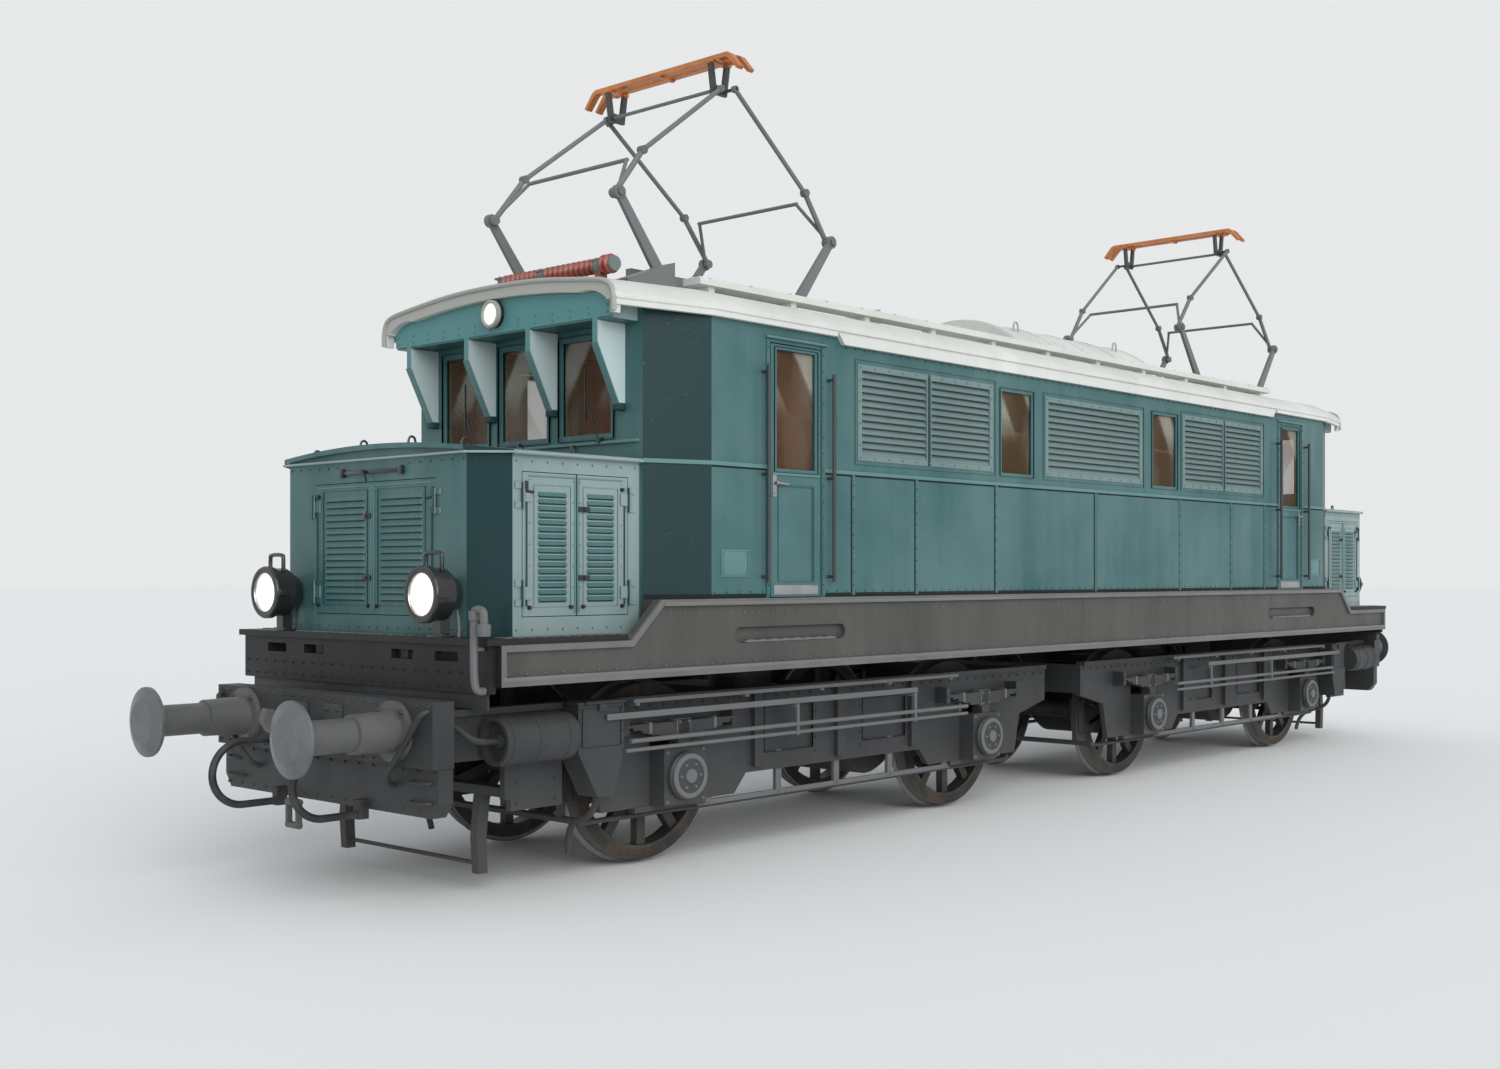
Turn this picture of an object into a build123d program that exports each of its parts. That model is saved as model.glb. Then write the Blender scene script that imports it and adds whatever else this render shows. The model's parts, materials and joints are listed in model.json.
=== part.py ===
"""Electric locomotive on two bogies, built as separate pieces.

Millimetres, +X toward end 1, +Y to the left of end 1, +Z up. Heights are above the rail head; every
piece is lifted by the flange depth on export, so that the wheel flanges stand at z = 0. End 2 is end 1
turned half round.
"""
import os
from math import hypot
from typing import NamedTuple

from build123d import *

os.makedirs("parts", exist_ok=True)

# Running gear
FLANGE_DEPTH = 28
TREAD_R = 625
BACK_TO_BACK = 1360
TYRE_WIDTH = 138
AXLE_R = 95
JOURNAL_R = 65
PIVOT_X = 3150
AXLES = (PIVOT_X + 1750, PIVOT_X - 1750)
BUFFER_FACE_X = 7645
BUFFER_Y = 875
BUFFER_Z = 1060
HEADSTOCK_X = 6930
FIT = 0.5

# Body
BODY_HALF = 1450
WALL = 50
INNER_HALF = BODY_HALF - WALL
ROOF_END = 5600
FRONT_X = ROOF_END - 290
CORNER_X = FRONT_X - 460
FRONT_HALF = BODY_HALF - 180
FLOOR = 25
SILL_LOW = 1330
SILL_TOP = 1840
DECK_TOP = 1620
SILL_END = FRONT_X + 1290
DECK_END = SILL_END + 80
WALL_TOP = 3810

# Hoods
HOOD_HALF = FRONT_HALF - 20
HOOD_FRONT = FRONT_X + 1220
HOOD_SHEET = 30
HINGE_OFF = 13
HINGE_R = 12
LEAF_GAP = 5

# Pantographs
PANTO_X = CORNER_X - 900
BASE_REACH = 720
BASE_Z = 4160
KNEE = (BASE_REACH + 390, 4690)
APEX = (40, 5680)
BULGE = 80
BULGE_AT = 0.3
HEAD_TOP = APEX[1] + 250
HEAD_HALF = 760


class Opening(NamedTuple):
    """A rectangular opening in a wall: its limits along the wall and in height."""

    start: float
    end: float
    low: float
    high: float


class Arch(NamedTuple):
    """Half of the roof's cross-section: side, bend and shoulder points and the crown height."""

    side: float
    bend: float
    shoulder: float
    shoulder_z: float
    crown: float


CAB_DOOR = Opening(CORNER_X - 1110, CORNER_X - 570, SILL_TOP, 3660)
SIDE_WINDOWS = (Opening(1030, 1470, 2870, 3560), Opening(-1470, -1030, 2870, 3560))
LOUVRES = (
    Opening(1600, CAB_DOOR.start - 410, 2870, 3600),
    Opening(-820, 820, 2870, 3570),
    Opening(410 - CAB_DOOR.start, -1600, 2870, 3600),
)
WINDOW_PITCH = FRONT_HALF * 0.5433
WINDOW_HALF = FRONT_HALF * 0.2008
FRONT_WINDOWS = tuple(Opening(k * WINDOW_PITCH - WINDOW_HALF, k * WINDOW_PITCH + WINDOW_HALF, 2970, 3620)
                      for k in (-1, 0, 1))
HOOD_FRONT_DOOR = Opening(545 - HOOD_HALF, HOOD_HALF - 545, 1740, 2620)
HOOD_SIDE_DOOR = Opening(FRONT_X + 110, FRONT_X + 970, 1740, 2650)
ROOF_OUTER = Arch(BODY_HALF + 50, 3850, BODY_HALF - 280, 3965, 4030)
ROOF_INNER = Arch(INNER_HALF, 3830, INNER_HALF - 290, 3922, 3988)
ROOF_POCKET = Arch(BODY_HALF - 210, 3820, BODY_HALF - 490, 3885, 3945)
ROOF_NARROWS = 170
CAVITY_NARROWS = 250
CAVITY_END = ROOF_END - 110
WALK_Y = ROOF_OUTER.shoulder * 0.752
WALK_END = FRONT_X - 810
SEAT_END = FRONT_X - 130
HATCH = Opening(BASE_REACH + 1030 - PANTO_X, 250, 4032, 4450)
HATCH_HALF = WALK_Y - 140
LAMP_Y = HOOD_HALF - 330
LAMP_Z = 1885

pieces: dict[str, list] = {}


def add(name, *shapes):
    """File the solids of the shapes under one piece."""
    pieces.setdefault(name, []).extend(s for shape in shapes for s in shape.solids())


def block(x0, x1, y0, y1, z0, z1):
    """A box between limits."""
    return Pos((x0 + x1) / 2, (y0 + y1) / 2, (z0 + z1) / 2) * Box(abs(x1 - x0), abs(y1 - y0), abs(z1 - z0))


def rod(start, end, radius):
    """A round bar between two points."""
    a, b = Vector(*start), Vector(*end)
    return Plane(origin=(a + b) * 0.5, z_dir=(b - a)) * Cylinder(radius, (b - a).length)


def rod_x(radius, x0, x1, y, z):
    """A round bar along X."""
    return rod((x0, y, z), (x1, y, z), radius)


def rod_y(radius, y0, y1, x, z):
    """A round bar along Y."""
    return rod((x, y0, z), (x, y1, z), radius)


def rod_z(radius, z0, z1, x, y):
    """A round bar along Z."""
    return rod((x, y, z0), (x, y, z1), radius)


def plate_y(outline, y0, y1):
    """A plate cut to an (x, z) outline, between two depths."""
    face = make_face(Polyline(*[(x, y0, z) for x, z in outline], close=True))
    return extrude(face, amount=y1 - y0, dir=(0, 1, 0))


def plate_z(outline, z0, z1):
    """A plate cut to an (x, y) outline, between two heights."""
    face = make_face(Polyline(*[(x, y, z0) for x, y in outline], close=True))
    return extrude(face, amount=z1 - z0, dir=(0, 0, 1))


def plate_x(outline, x0, x1):
    """A plate cut to a (y, z) outline, between two lengths."""
    face = make_face(Polyline(*[(x0, y, z) for y, z in outline], close=True))
    return extrude(face, amount=x1 - x0, dir=(1, 0, 0))


def turned_y(profile, x, z):
    """A solid turned about an axis along Y from (radius, y) points."""
    face = make_face(Polyline(*[(x, y, z + r) for r, y in profile], close=True))
    return revolve(face, Axis((x, 0, z), (0, 1, 0)), 360)


def turned_x(profile, y, z):
    """A solid turned about an axis along X from (radius, x) points."""
    face = make_face(Polyline(*[(x, y, z + r) for r, x in profile], close=True))
    return revolve(face, Axis((0, y, z), (1, 0, 0)), 360)


def turned_z(profile, x, y):
    """A solid turned about an axis along Z from (radius, z) points."""
    face = make_face(Polyline(*[(x + r, y, z) for r, z in profile], close=True))
    return revolve(face, Axis((x, y, 0), (0, 0, 1)), 360)


def joined(shapes):
    """One body from several that overlap."""
    first, *rest = shapes
    return first + rest if rest else first


def mirrored(shape):
    """The same piece on the other side of the centre line."""
    return mirror(shape, about=Plane.XZ)


def both_sides(shape):
    """The piece and its mirror image across the centre line."""
    return [shape, mirrored(shape)]


def end_two(shape):
    """The same piece at end 2."""
    return shape.rotate(Axis.Z, 180)


def both_ends(shape):
    """The piece and its copy at end 2."""
    return [shape, end_two(shape)]


def arch_face(arch, x, narrow=0.0, low=WALL_TOP):
    """The roof section across the body at one length, narrowed at both sides."""
    side, shoulder = arch.side - narrow, arch.shoulder - narrow
    mid = (shoulder + (side - shoulder) * 0.7071, arch.bend + (arch.shoulder_z - arch.bend) * 0.7071)
    left, right = 1, -1
    edges = [
        Line((x, -side, low), (x, side, low)),
        Line((x, side, low), (x, side, arch.bend)),
        ThreePointArc((x, side, arch.bend), (x, mid[0] * left, mid[1]), (x, shoulder, arch.shoulder_z)),
        ThreePointArc((x, shoulder, arch.shoulder_z), (x, 0, arch.crown), (x, -shoulder, arch.shoulder_z)),
        ThreePointArc((x, -shoulder, arch.shoulder_z), (x, mid[0] * right, mid[1]), (x, -side, arch.bend)),
        Line((x, -side, arch.bend), (x, -side, low)),
    ]
    return make_face(edges)


def underframe():
    """Sills, floor, decks, end beams, bolsters and the pivot pins."""
    half = [(SILL_END, SILL_LOW), (SILL_END, 1580), (FRONT_X + 270, 1580), (FRONT_X + 10, SILL_TOP)]
    outline = half + [(-x, z) for x, z in reversed(half)]
    half = [(SILL_END - 40, SILL_LOW + 40), (SILL_END - 40, 1540), (FRONT_X + 253, 1540),
            (FRONT_X - 7, SILL_TOP - 40)]
    inset = half + [(-x, z) for x, z in reversed(half)]
    sill = plate_y(outline, BODY_HALF - 60, BODY_HALF) + (
        plate_y(outline, BODY_HALF - 10, BODY_HALF + 25) - plate_y(inset, BODY_HALF, BODY_HALF + 30))
    slots = []
    for x in (CORNER_X - 800, 800 - CORNER_X):
        slots.append(block(x - 525, x + 525, BODY_HALF - 70, BODY_HALF + 40, 1530, 1640))
        slots += [rod_y(55, BODY_HALF - 70, BODY_HALF + 40, x + s * 525, 1585) for s in (-1, 1)]
    sills = both_sides(sill - slots)
    inner, room = INNER_HALF, INNER_HALF - 40
    shapes = [block(-FRONT_X, FRONT_X, -inner, inner, SILL_TOP - FLOOR, SILL_TOP)]
    for s in (1, -1):
        beam = block(s * SILL_END, s * (SILL_END + 50), 30 - BODY_HALF, BODY_HALF - 30, 1290, 1590)
        slots = [block(s * (SILL_END - 10), s * (SILL_END + 60), y - 120, y + 120, 1475, 1535)
                 for y in (460 - BODY_HALF, -520, 520, BODY_HALF - 460)]
        beam = beam - slots
        pivot = rod_z(260, 1180, SILL_LOW + 5, s * PIVOT_X, 0) + rod_z(110, 850, 1190, s * PIVOT_X, 0)
        shapes += [
            beam,
            block(s * (FRONT_X - 40), s * DECK_END, -BODY_HALF, BODY_HALF, 1580, DECK_TOP),
            block(s * (FRONT_X - 40), s * FRONT_X, -inner, inner, 1590, SILL_TOP - 10),
            block(s * (PIVOT_X - 250), s * (PIVOT_X + 250), -inner, inner, SILL_LOW, SILL_TOP) - block(
                s * (PIVOT_X - 210), s * (PIVOT_X + 210), -room, room, SILL_LOW + 40, SILL_TOP - FLOOR),
            pivot,
        ]
        for y in (-500, 500):
            shapes.append(block(s * (PIVOT_X + 150), s * (SILL_END + 20), y - 40, y + 40, 1400, 1600))
            shapes.append(block(s * 200, s * (PIVOT_X - 150), y - 40, y + 40, 1500, SILL_TOP - 10))
    shapes.append(block(-260, 260, -inner, inner, 1500, SILL_TOP) - block(
        -220, 220, -room, room, 1540, SILL_TOP - FLOOR))
    between = joined(shapes) - sills
    middle = block(-FRONT_X, FRONT_X, -2 * BODY_HALF, 2 * BODY_HALF, 0, WALL_TOP)
    add("underframe", *sills, between & middle, *(between - middle).solids())


def side_walls():
    """Body sides from corner to corner, with their openings and the cab doors' fixed hinge halves."""
    slope = (BODY_HALF - FRONT_HALF) / (FRONT_X - CORNER_X)
    inner_end = FRONT_HALF - WALL * hypot(1, slope)
    inner_bend = FRONT_X - (BODY_HALF - WALL - inner_end) / slope
    outline = [(-FRONT_X, FRONT_HALF), (-CORNER_X, BODY_HALF), (CORNER_X, BODY_HALF), (FRONT_X, FRONT_HALF),
               (FRONT_X, inner_end), (inner_bend, BODY_HALF - WALL), (-inner_bend, BODY_HALF - WALL),
               (-FRONT_X, inner_end)]
    wall = plate_z(outline, SILL_TOP, WALL_TOP)
    back, face = INNER_HALF - 20, BODY_HALF + 30
    cuts = [block(o.start, o.end, back, face, o.low, o.high) for o in SIDE_WINDOWS + LOUVRES]
    cuts += [block(s * CAB_DOOR.start, s * CAB_DOOR.end, back, face, SILL_TOP - 5,
                   CAB_DOOR.high) for s in (1, -1)]
    wall = wall - cuts
    hinges = []
    for s in (1, -1):
        axis_x = s * (CAB_DOOR.start + 8)
        for z in CAB_HINGES:
            for low in (z + 40.5, z - 80.5):
                hinges.append(rod_z(HINGE_R, low, low + 40, axis_x, CAB_HINGE_Y))
                hinges.append(block(axis_x, axis_x - s * 50, CAB_HINGE_Y - 2, CAB_HINGE_Y + 6, low,
                                    low + 40))
                hinges.append(block(axis_x - s * 20, axis_x - s * 50, CAB_HINGE_Y, INNER_HALF + 2, low,
                                    low + 40))
    add("side_walls", *both_sides(joined([wall] + hinges)))


CAB_HINGES = (2050, 2700, 3350)
CAB_HINGE_Y = BODY_HALF - WALL - HINGE_OFF


def cab_doors():
    """Four cab doors with their window openings, hung on the inner face at their rear edge."""
    x0, x1 = CAB_DOOR.start + 8, CAB_DOOR.end - 10
    leaf = block(x0, x1, BODY_HALF - WALL, BODY_HALF, SILL_TOP + 6, CAB_DOOR.high - 8)
    start = CAB_DOOR.start
    leaf = leaf - [block(start + 65, start + 470, INNER_HALF - 20, BODY_HALF + 30, 2765, 3615),
                   block(start + 90, start + 450, BODY_HALF - 10, BODY_HALF + 30, 1960, 2640)]
    parts = [leaf]
    for z in CAB_HINGES:
        parts.append(rod_z(HINGE_R, z - 40, z + 40, x0, CAB_HINGE_Y))
        parts.append(block(x0, x0 + 50, CAB_HINGE_Y - 2, CAB_HINGE_Y + 6, z - 40, z + 40))
        parts.append(block(x0 + 20, x0 + 50, CAB_HINGE_Y, BODY_HALF - WALL + 2, z - 40, z + 40))
    leaf = joined(parts)
    add("cab_door_1_left", leaf)
    add("cab_door_1_right", mirrored(leaf))
    add("cab_door_2_left", end_two(leaf))
    add("cab_door_2_right", end_two(mirrored(leaf)))


def side_louvres():
    """Framed louvre panels in the body sides."""
    for o in LOUVRES:
        back, face = BODY_HALF - 45, BODY_HALF + 6
        frame = block(o.start, o.end, back, face, o.low, o.high) - block(
            o.start + 45, o.end - 45, back - 10, face + 14, o.low + 45, o.high - 45)
        parts = [frame]
        if o.start * o.end > 0:
            middle = (o.start + o.end) / 2
            parts.append(block(middle - 30, middle + 30, back, face, o.low + 20, o.high - 20))
        count = int((o.high - o.low - 90) // 53)
        pitch = (o.high - o.low - 90) / count
        for i in range(count):
            z = o.low + 41 + pitch * i
            slat = [(face - 9, z), (face - 3, z + 6), (back + 12, z + pitch + 2), (back + 6, z + pitch - 4)]
            parts.append(plate_x(slat, o.start + 30, o.end - 30))
        add("side_louvres", *both_sides(joined(parts)))


BROW_Z = 3700


def cab_fronts():
    """Cab end walls with three windows, four gussets and the brow under the roof rim."""
    slope = (BODY_HALF - FRONT_HALF) / (FRONT_X - CORNER_X)
    half = FRONT_HALF - WALL * hypot(1, slope) - 0.3
    wall = block(FRONT_X - WALL, FRONT_X, -half, half, SILL_TOP, WALL_TOP)
    wall = wall - [block(FRONT_X - 60, FRONT_X + 10, o.start, o.end, o.low, o.high) for o in FRONT_WINDOWS]
    fascia_arch = Arch(*(v - 3 for v in ROOF_POCKET))
    brow, side = ROOF_END - 47, fascia_arch.side
    fascia = extrude(arch_face(fascia_arch, brow - 20, low=BROW_Z + 10), amount=20, dir=(1, 0, 0))
    parts = [wall, fascia, block(FRONT_X, brow - 13, -side, side, BROW_Z, BROW_Z + 25)]
    parts += [block(FRONT_X, brow - 13, *sorted((s * (side - 37), s * side)), BROW_Z + 10,
                    WALL_TOP) for s in (1, -1)]
    gusset = [(FRONT_X - 10, BROW_Z - 545), (FRONT_X + 55, BROW_Z - 545), (brow, BROW_Z - 150),
              (brow, BROW_Z + 15),
              (FRONT_X - 10, BROW_Z + 15)]
    middle, outer = WINDOW_PITCH * 0.514, WINDOW_PITCH * 1.551
    parts += [plate_y(gusset, y - 24, y + 24) for y in (-outer, -middle, middle, outer)]
    add("cab_fronts", *both_ends(joined(parts)))


def roof():
    """Arched roof shell with the rim at both ends and the flat seats of what stands on it."""
    def body(arch, end, narrow, low):
        """A closed body between four sections, narrowed toward both ends."""
        stations = ((-end, narrow), (-CORNER_X, 0), (CORNER_X, 0), (end, narrow))
        return loft([arch_face(arch, x, cut, low) for x, cut in stations], ruled=True)

    shell = body(ROOF_OUTER, ROOF_END, ROOF_NARROWS, WALL_TOP)
    hollow = body(ROOF_INNER, CAVITY_END, CAVITY_NARROWS, 3700)
    pocket = extrude(arch_face(ROOF_POCKET, ROOF_END - 70, low=3700), amount=100, dir=(1, 0, 0))
    reach = CAB_DOOR.start - 140
    eave = plate_y([(-reach, 3815), (reach, 3815), (reach - 80, 3720), (80 - reach, 3720)], BODY_HALF + 2,
                   BODY_HALF + 40)
    end = ROOF_OUTER.side - ROOF_NARROWS
    drip = plate_z([(reach, BODY_HALF + 3), (reach, BODY_HALF + 46), (CORNER_X, BODY_HALF + 46),
                    (ROOF_END, end - 4),
                    (ROOF_END, end - 47), (CORNER_X, BODY_HALF + 3)], 3772, WALL_TOP + 5)
    leg = plate_x([(end - 4, WALL_TOP + 5), (end - 47, WALL_TOP + 5), (end - 47, BROW_Z + 20),
                   (end - 20, BROW_Z + 20)],
                  ROOF_END - 60, ROOF_END)
    edge = joined([drip, leg])
    seats = both_sides(eave) + [s for shape in both_sides(edge) for s in both_ends(shape)]
    seats += [block(-SEAT_END, SEAT_END, s * WALK_Y - 80, s * WALK_Y + 80, 3958, 4000) for s in (1, -1)]
    seats.append(block(HATCH.start, HATCH.end, -HATCH_HALF, HATCH_HALF, 3992, HATCH.low))
    for s in (1, -1):
        for dx in (290 - BASE_REACH, BASE_REACH - 290):
            seats += [rod_z(85, 3992, 4030, s * PANTO_X + dx, y) for y in (-550, 550)]
        for y, top in ROW_POSTS:
            seats.append(block(s * (ROW_X - 50), s * (ROW_X + 50), s * y - 50, s * y + 50, top - 42, top))
    shell = shell - ([hollow] + both_ends(pocket))
    add("roof_shell", joined([shell] + seats))


ROW_REACH = ROOF_OUTER.shoulder * 0.812
ROW_POSTS = ((-120, 4034), (350, 4032), (ROW_REACH, 4006))
ROW_X = FRONT_X + 90
ROW_Z = 4095
WEDGE_X = PANTO_X + BASE_REACH + 60


def ribbed(length, core, rib, count):
    """Profile of a ribbed insulator from (radius, along) points."""
    step = length / count
    points = [(0, 0), (core, 0)]
    for i in range(count):
        a = i * step
        points += [(core, a + 0.15 * step), (rib, a + 0.4 * step), (rib, a + 0.6 * step),
                   (core, a + 0.85 * step)]
    return points + [(core, length), (0, length)]


def roof_fittings():
    """Walkways, the raised hatch, the insulators and the wedge boxes beside the pantographs."""
    plank = block(-WALK_END, WALK_END, WALK_Y - 90, WALK_Y + 90, 4100, 4140)
    pitch = (WALK_END - 150) / 5
    posts = [block(i * pitch - 30, i * pitch + 30, WALK_Y - 50, WALK_Y + 50, 4000, 4105)
             for i in range(-5, 6)]
    add("roof_walkways", *both_sides(joined([plank] + posts)))

    def vault(x, half, low, spring, crest, length):
        """A vaulted block along X."""
        edges = [Line((x, -half, low), (x, half, low)), Line((x, half, low), (x, half, spring)),
                 ThreePointArc((x, half, spring), (x, 0, crest), (x, -half, spring)),
                 Line((x, -half, spring), (x, -half, low))]
        return extrude(make_face(edges), amount=length, dir=(1, 0, 0))

    length = HATCH.end - HATCH.start
    hatch = vault(HATCH.start, HATCH_HALF, HATCH.low, 4190, HATCH.high, length) - vault(
        HATCH.start + 30, HATCH_HALF - 35, HATCH.low - 12, 4180, HATCH.high - 30, length - 60)
    pitch = (length - 50) / 5
    vents = [block(x, x + pitch - 100, *sorted((s * (HATCH_HALF - 25), s * (HATCH_HALF + 20))), 4080, 4160)
             for x in (HATCH.start + 120 + i * pitch for i in range(5)) for s in (1, -1)]
    add("roof_hatch", hatch - vents)

    for s in (1, -1):
        for dx in (290 - BASE_REACH, BASE_REACH - 290):
            for y in (-550, 550):
                profile = [(r, 4030 + a) for r, a in ribbed(80, 48, 70, 2)]
                add("roof_insulators", turned_z(profile, s * PANTO_X + dx, y))
    row = [turned_y([(r, -100 + a) for r, a in ribbed(430, 34, 54, 8)], ROW_X, ROW_Z),
           turned_y([(r, 370 + a) for r, a in ribbed(ROW_REACH - 390, 34, 54, 10)], ROW_X, ROW_Z),
           turned_y([(r, ROW_REACH + 25 + a) for r, a in ribbed(110, 40, 66, 2)], ROW_X, ROW_Z)]
    row += [block(ROW_X - 30, ROW_X + 30, y - 30, y + 30, top, ROW_Z + 36) for y, top in ROW_POSTS]
    add("roof_insulators", *both_ends(joined(row)))


def hoods():
    """Low end hoods with openings for their doors and the fixed hinge halves."""
    def plan(start, half, bend, face, end):
        """Outline of the hood seen from above, with its two front corners cut off."""
        left = [(start, half), (bend, half), (face, end)]
        return left + [(x, -y) for x, y in reversed(left)]

    outer = plan(FRONT_X + 1, HOOD_HALF, HOOD_FRONT - 180, HOOD_FRONT, HOOD_HALF - 220)
    inner = plan(FRONT_X - 9, HOOD_HALF - HOOD_SHEET, HOOD_FRONT - 194, HOOD_FRONT - HOOD_SHEET,
                 HOOD_HALF - 231)
    lip = plan(FRONT_X + 1, HOOD_HALF + 35, HOOD_FRONT - 164, HOOD_FRONT + 35, HOOD_HALF - 208)
    x, edge = FRONT_X - 10, HOOD_HALF + 50
    walls = plate_z(outer, DECK_TOP, 2880) - plate_z(inner, DECK_TOP - 10, 2890)
    under = [Line((x, -edge, 1600), (x, edge, 1600)), Line((x, edge, 1600), (x, edge, 2768)),
             ThreePointArc((x, edge, 2768), (x, 0, 2846), (x, -edge, 2768)),
             Line((x, -edge, 2768), (x, -edge, 1600))]
    walls = walls & extrude(make_face(under), amount=1400, dir=(1, 0, 0))
    crest = [Line((x, -edge, 2750), (x, -edge, 2776)),
             ThreePointArc((x, -edge, 2776), (x, 0, 2862), (x, edge, 2776)),
             Line((x, edge, 2776), (x, edge, 2750)),
             ThreePointArc((x, edge, 2750), (x, 0, 2828), (x, -edge, 2750))]
    cover = extrude(make_face(crest), amount=1400, dir=(1, 0, 0)) & plate_z(lip, 2600, 2900)
    f, d = HOOD_FRONT_DOOR, HOOD_SIDE_DOOR
    cuts = [block(HOOD_FRONT - 60, HOOD_FRONT + 60, f.start, f.end, f.low, f.high)]
    cuts.append(block(d.start, d.end, -edge, edge, d.low, d.high))
    shell = (walls - cuts) + cover
    hinges = []
    for leaf in LEAVES:
        for half in hinge_halves(leaf, fixed=True):
            hinges.append(placed(leaf, half))
    add("hoods", *both_ends(joined([shell] + hinges)))


class Leaf(NamedTuple):
    """A hood door leaf: its name, opening, hinge line, width and turn, and whether it is a mirror image."""

    name: str
    opening: Opening
    x: float
    y: float
    width: float
    turn: float
    flipped: bool


FRONT_LINE = HOOD_FRONT + HINGE_OFF
SIDE_LINE = HOOD_HALF + HINGE_OFF
FRONT_LEAF = HOOD_FRONT_DOOR.end - LEAF_GAP
SIDE_LEAF = (HOOD_SIDE_DOOR.end - HOOD_SIDE_DOOR.start) / 2 - LEAF_GAP
LEAVES = (
    Leaf("front_right", HOOD_FRONT_DOOR, FRONT_LINE, HOOD_FRONT_DOOR.start, FRONT_LEAF, 90, False),
    Leaf("front_left", HOOD_FRONT_DOOR, FRONT_LINE, HOOD_FRONT_DOOR.start, FRONT_LEAF, 90, True),
    Leaf("right_rear", HOOD_SIDE_DOOR, HOOD_SIDE_DOOR.start, -SIDE_LINE, SIDE_LEAF, 0, False),
    Leaf("left_rear", HOOD_SIDE_DOOR, HOOD_SIDE_DOOR.start, -SIDE_LINE, SIDE_LEAF, 0, True),
    Leaf("left_front", HOOD_SIDE_DOOR, HOOD_SIDE_DOOR.end, SIDE_LINE, SIDE_LEAF, 180, False),
    Leaf("right_front", HOOD_SIDE_DOOR, HOOD_SIDE_DOOR.end, SIDE_LINE, SIDE_LEAF, 180, True),
)


def placed(leaf, shape):
    """Move a shape from the leaf's own frame, hinge at the origin, to its place on the hood."""
    shape = Pos(leaf.x, leaf.y, 0) * (Rot(0, 0, leaf.turn) * shape)
    return mirrored(shape) if leaf.flipped else shape


def hinge_halves(leaf, fixed):
    """Barrels and straps of one leaf's hinges, for the fixed side or the moving side."""
    o, halves = leaf.opening, []
    for z in (o.low + 150, o.high - 150):
        spans = ((z + 40.5, z + 80.5), (z - 80.5, z - 40.5)) if fixed else ((z - 40, z + 40),)
        reach = -55 if fixed else 70
        for low, high in spans:
            halves.append(rod_z(HINGE_R, low, high, 0, 0))
            halves.append(block(0, reach, 4, 11, low, high))
            halves.append(block(reach * 0.35, reach, 5, HINGE_OFF + 1, low, high))
    return halves


def hood_doors():
    """Twelve hood door leaves with pressed louvres."""
    for leaf in LEAVES:
        o = leaf.opening
        sheet = block(LEAF_GAP, leaf.width, HINGE_OFF, HINGE_OFF + HOOD_SHEET, o.low + LEAF_GAP,
                      o.high - LEAF_GAP)
        parts = [sheet] + hinge_halves(leaf, fixed=False)
        start, end = (145, leaf.width - 90) if leaf.turn == 90 else (125, leaf.width - 80)
        for i in range(16):
            z = o.low + 100 + i * 44
            parts.append(plate_x([(HINGE_OFF + 1, z), (HINGE_OFF - 13, z), (HINGE_OFF + 1, z + 28)], start,
                                 end))
        shape = placed(leaf, joined(parts))
        add("hood_door_1_" + leaf.name, shape)
        add("hood_door_2_" + leaf.name, end_two(shape))


def glazing_and_lamps():
    """Fixed panes, headlamp housings and their lenses."""
    panes = [block(FRONT_X - 29, FRONT_X - 21, o.start, o.end, o.low, o.high) for o in FRONT_WINDOWS]
    add("window_glass", *[p for pane in panes for p in both_ends(pane)])
    for o in SIDE_WINDOWS:
        add("window_glass", *both_sides(block(o.start, o.end, BODY_HALF - 29, BODY_HALF - 21, o.low,
                                              o.high)))
    profile = [(0, 30), (110, 30), (165, 110), (165, 205), (178, 210), (178, 245), (131, 245), (131, 218),
               (0, 218)]
    body = turned_x([(r, HOOD_FRONT + a) for r, a in profile], LAMP_Y, LAMP_Z)
    lamp = body + [block(HOOD_FRONT + 70, HOOD_FRONT + 140, LAMP_Y - 40, LAMP_Y + 40, DECK_TOP,
                         LAMP_Z - 125)]
    lens = rod_x(131 - FIT, HOOD_FRONT + 218, HOOD_FRONT + 238, LAMP_Y, LAMP_Z)
    profile = [(0, -47), (96, -47), (96, 5), (76, 5), (76, -20), (0, -20)]
    top = turned_x([(r, ROOF_END + a) for r, a in profile], 0, 3840)
    top_lens = rod_x(76 - FIT, ROOF_END - 20, ROOF_END, 0, 3840)
    for shape in both_sides(lamp) + [top]:
        add("headlamps", *both_ends(shape))
    for shape in both_sides(lens) + [top_lens]:
        add("lamp_lenses", *both_ends(shape))


def interior():
    """Cab bulkheads, driver's desks with seats, and the transformer as a plain block."""
    bulkhead = block(CAB_DOOR.start - 120, CAB_DOOR.start - 60, -INNER_HALF, INNER_HALF, SILL_TOP,
                     WALL_TOP - 10)
    add("cab_bulkheads", *both_ends(bulkhead))
    x, half = FRONT_X - WALL - 10, FRONT_HALF - 190
    desk = plate_y([(x, SILL_TOP), (x, 2800), (x - 210, 2740), (x - 290, 2560), (x - 190, 2500),
                    (x - 190, SILL_TOP)],
                   -half, half)
    wheel = rod_z(25, 2580, 2900, x - 265, 420) + rod_z(170, 2890, 2920, x - 265, 420)
    seat = rod_z(45, SILL_TOP, 2330, x - 770, 420) + [
        block(x - 970, x - 570, 230, 610, 2320, 2390), block(x - 990, x - 940, 250, 590, 2380, 2860)]
    for shape in (desk + [wheel], seat):
        add("driver_desks", *both_ends(shape))
    add("transformer", block(-900, 900, -650, 650, SILL_TOP, 2950))


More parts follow.
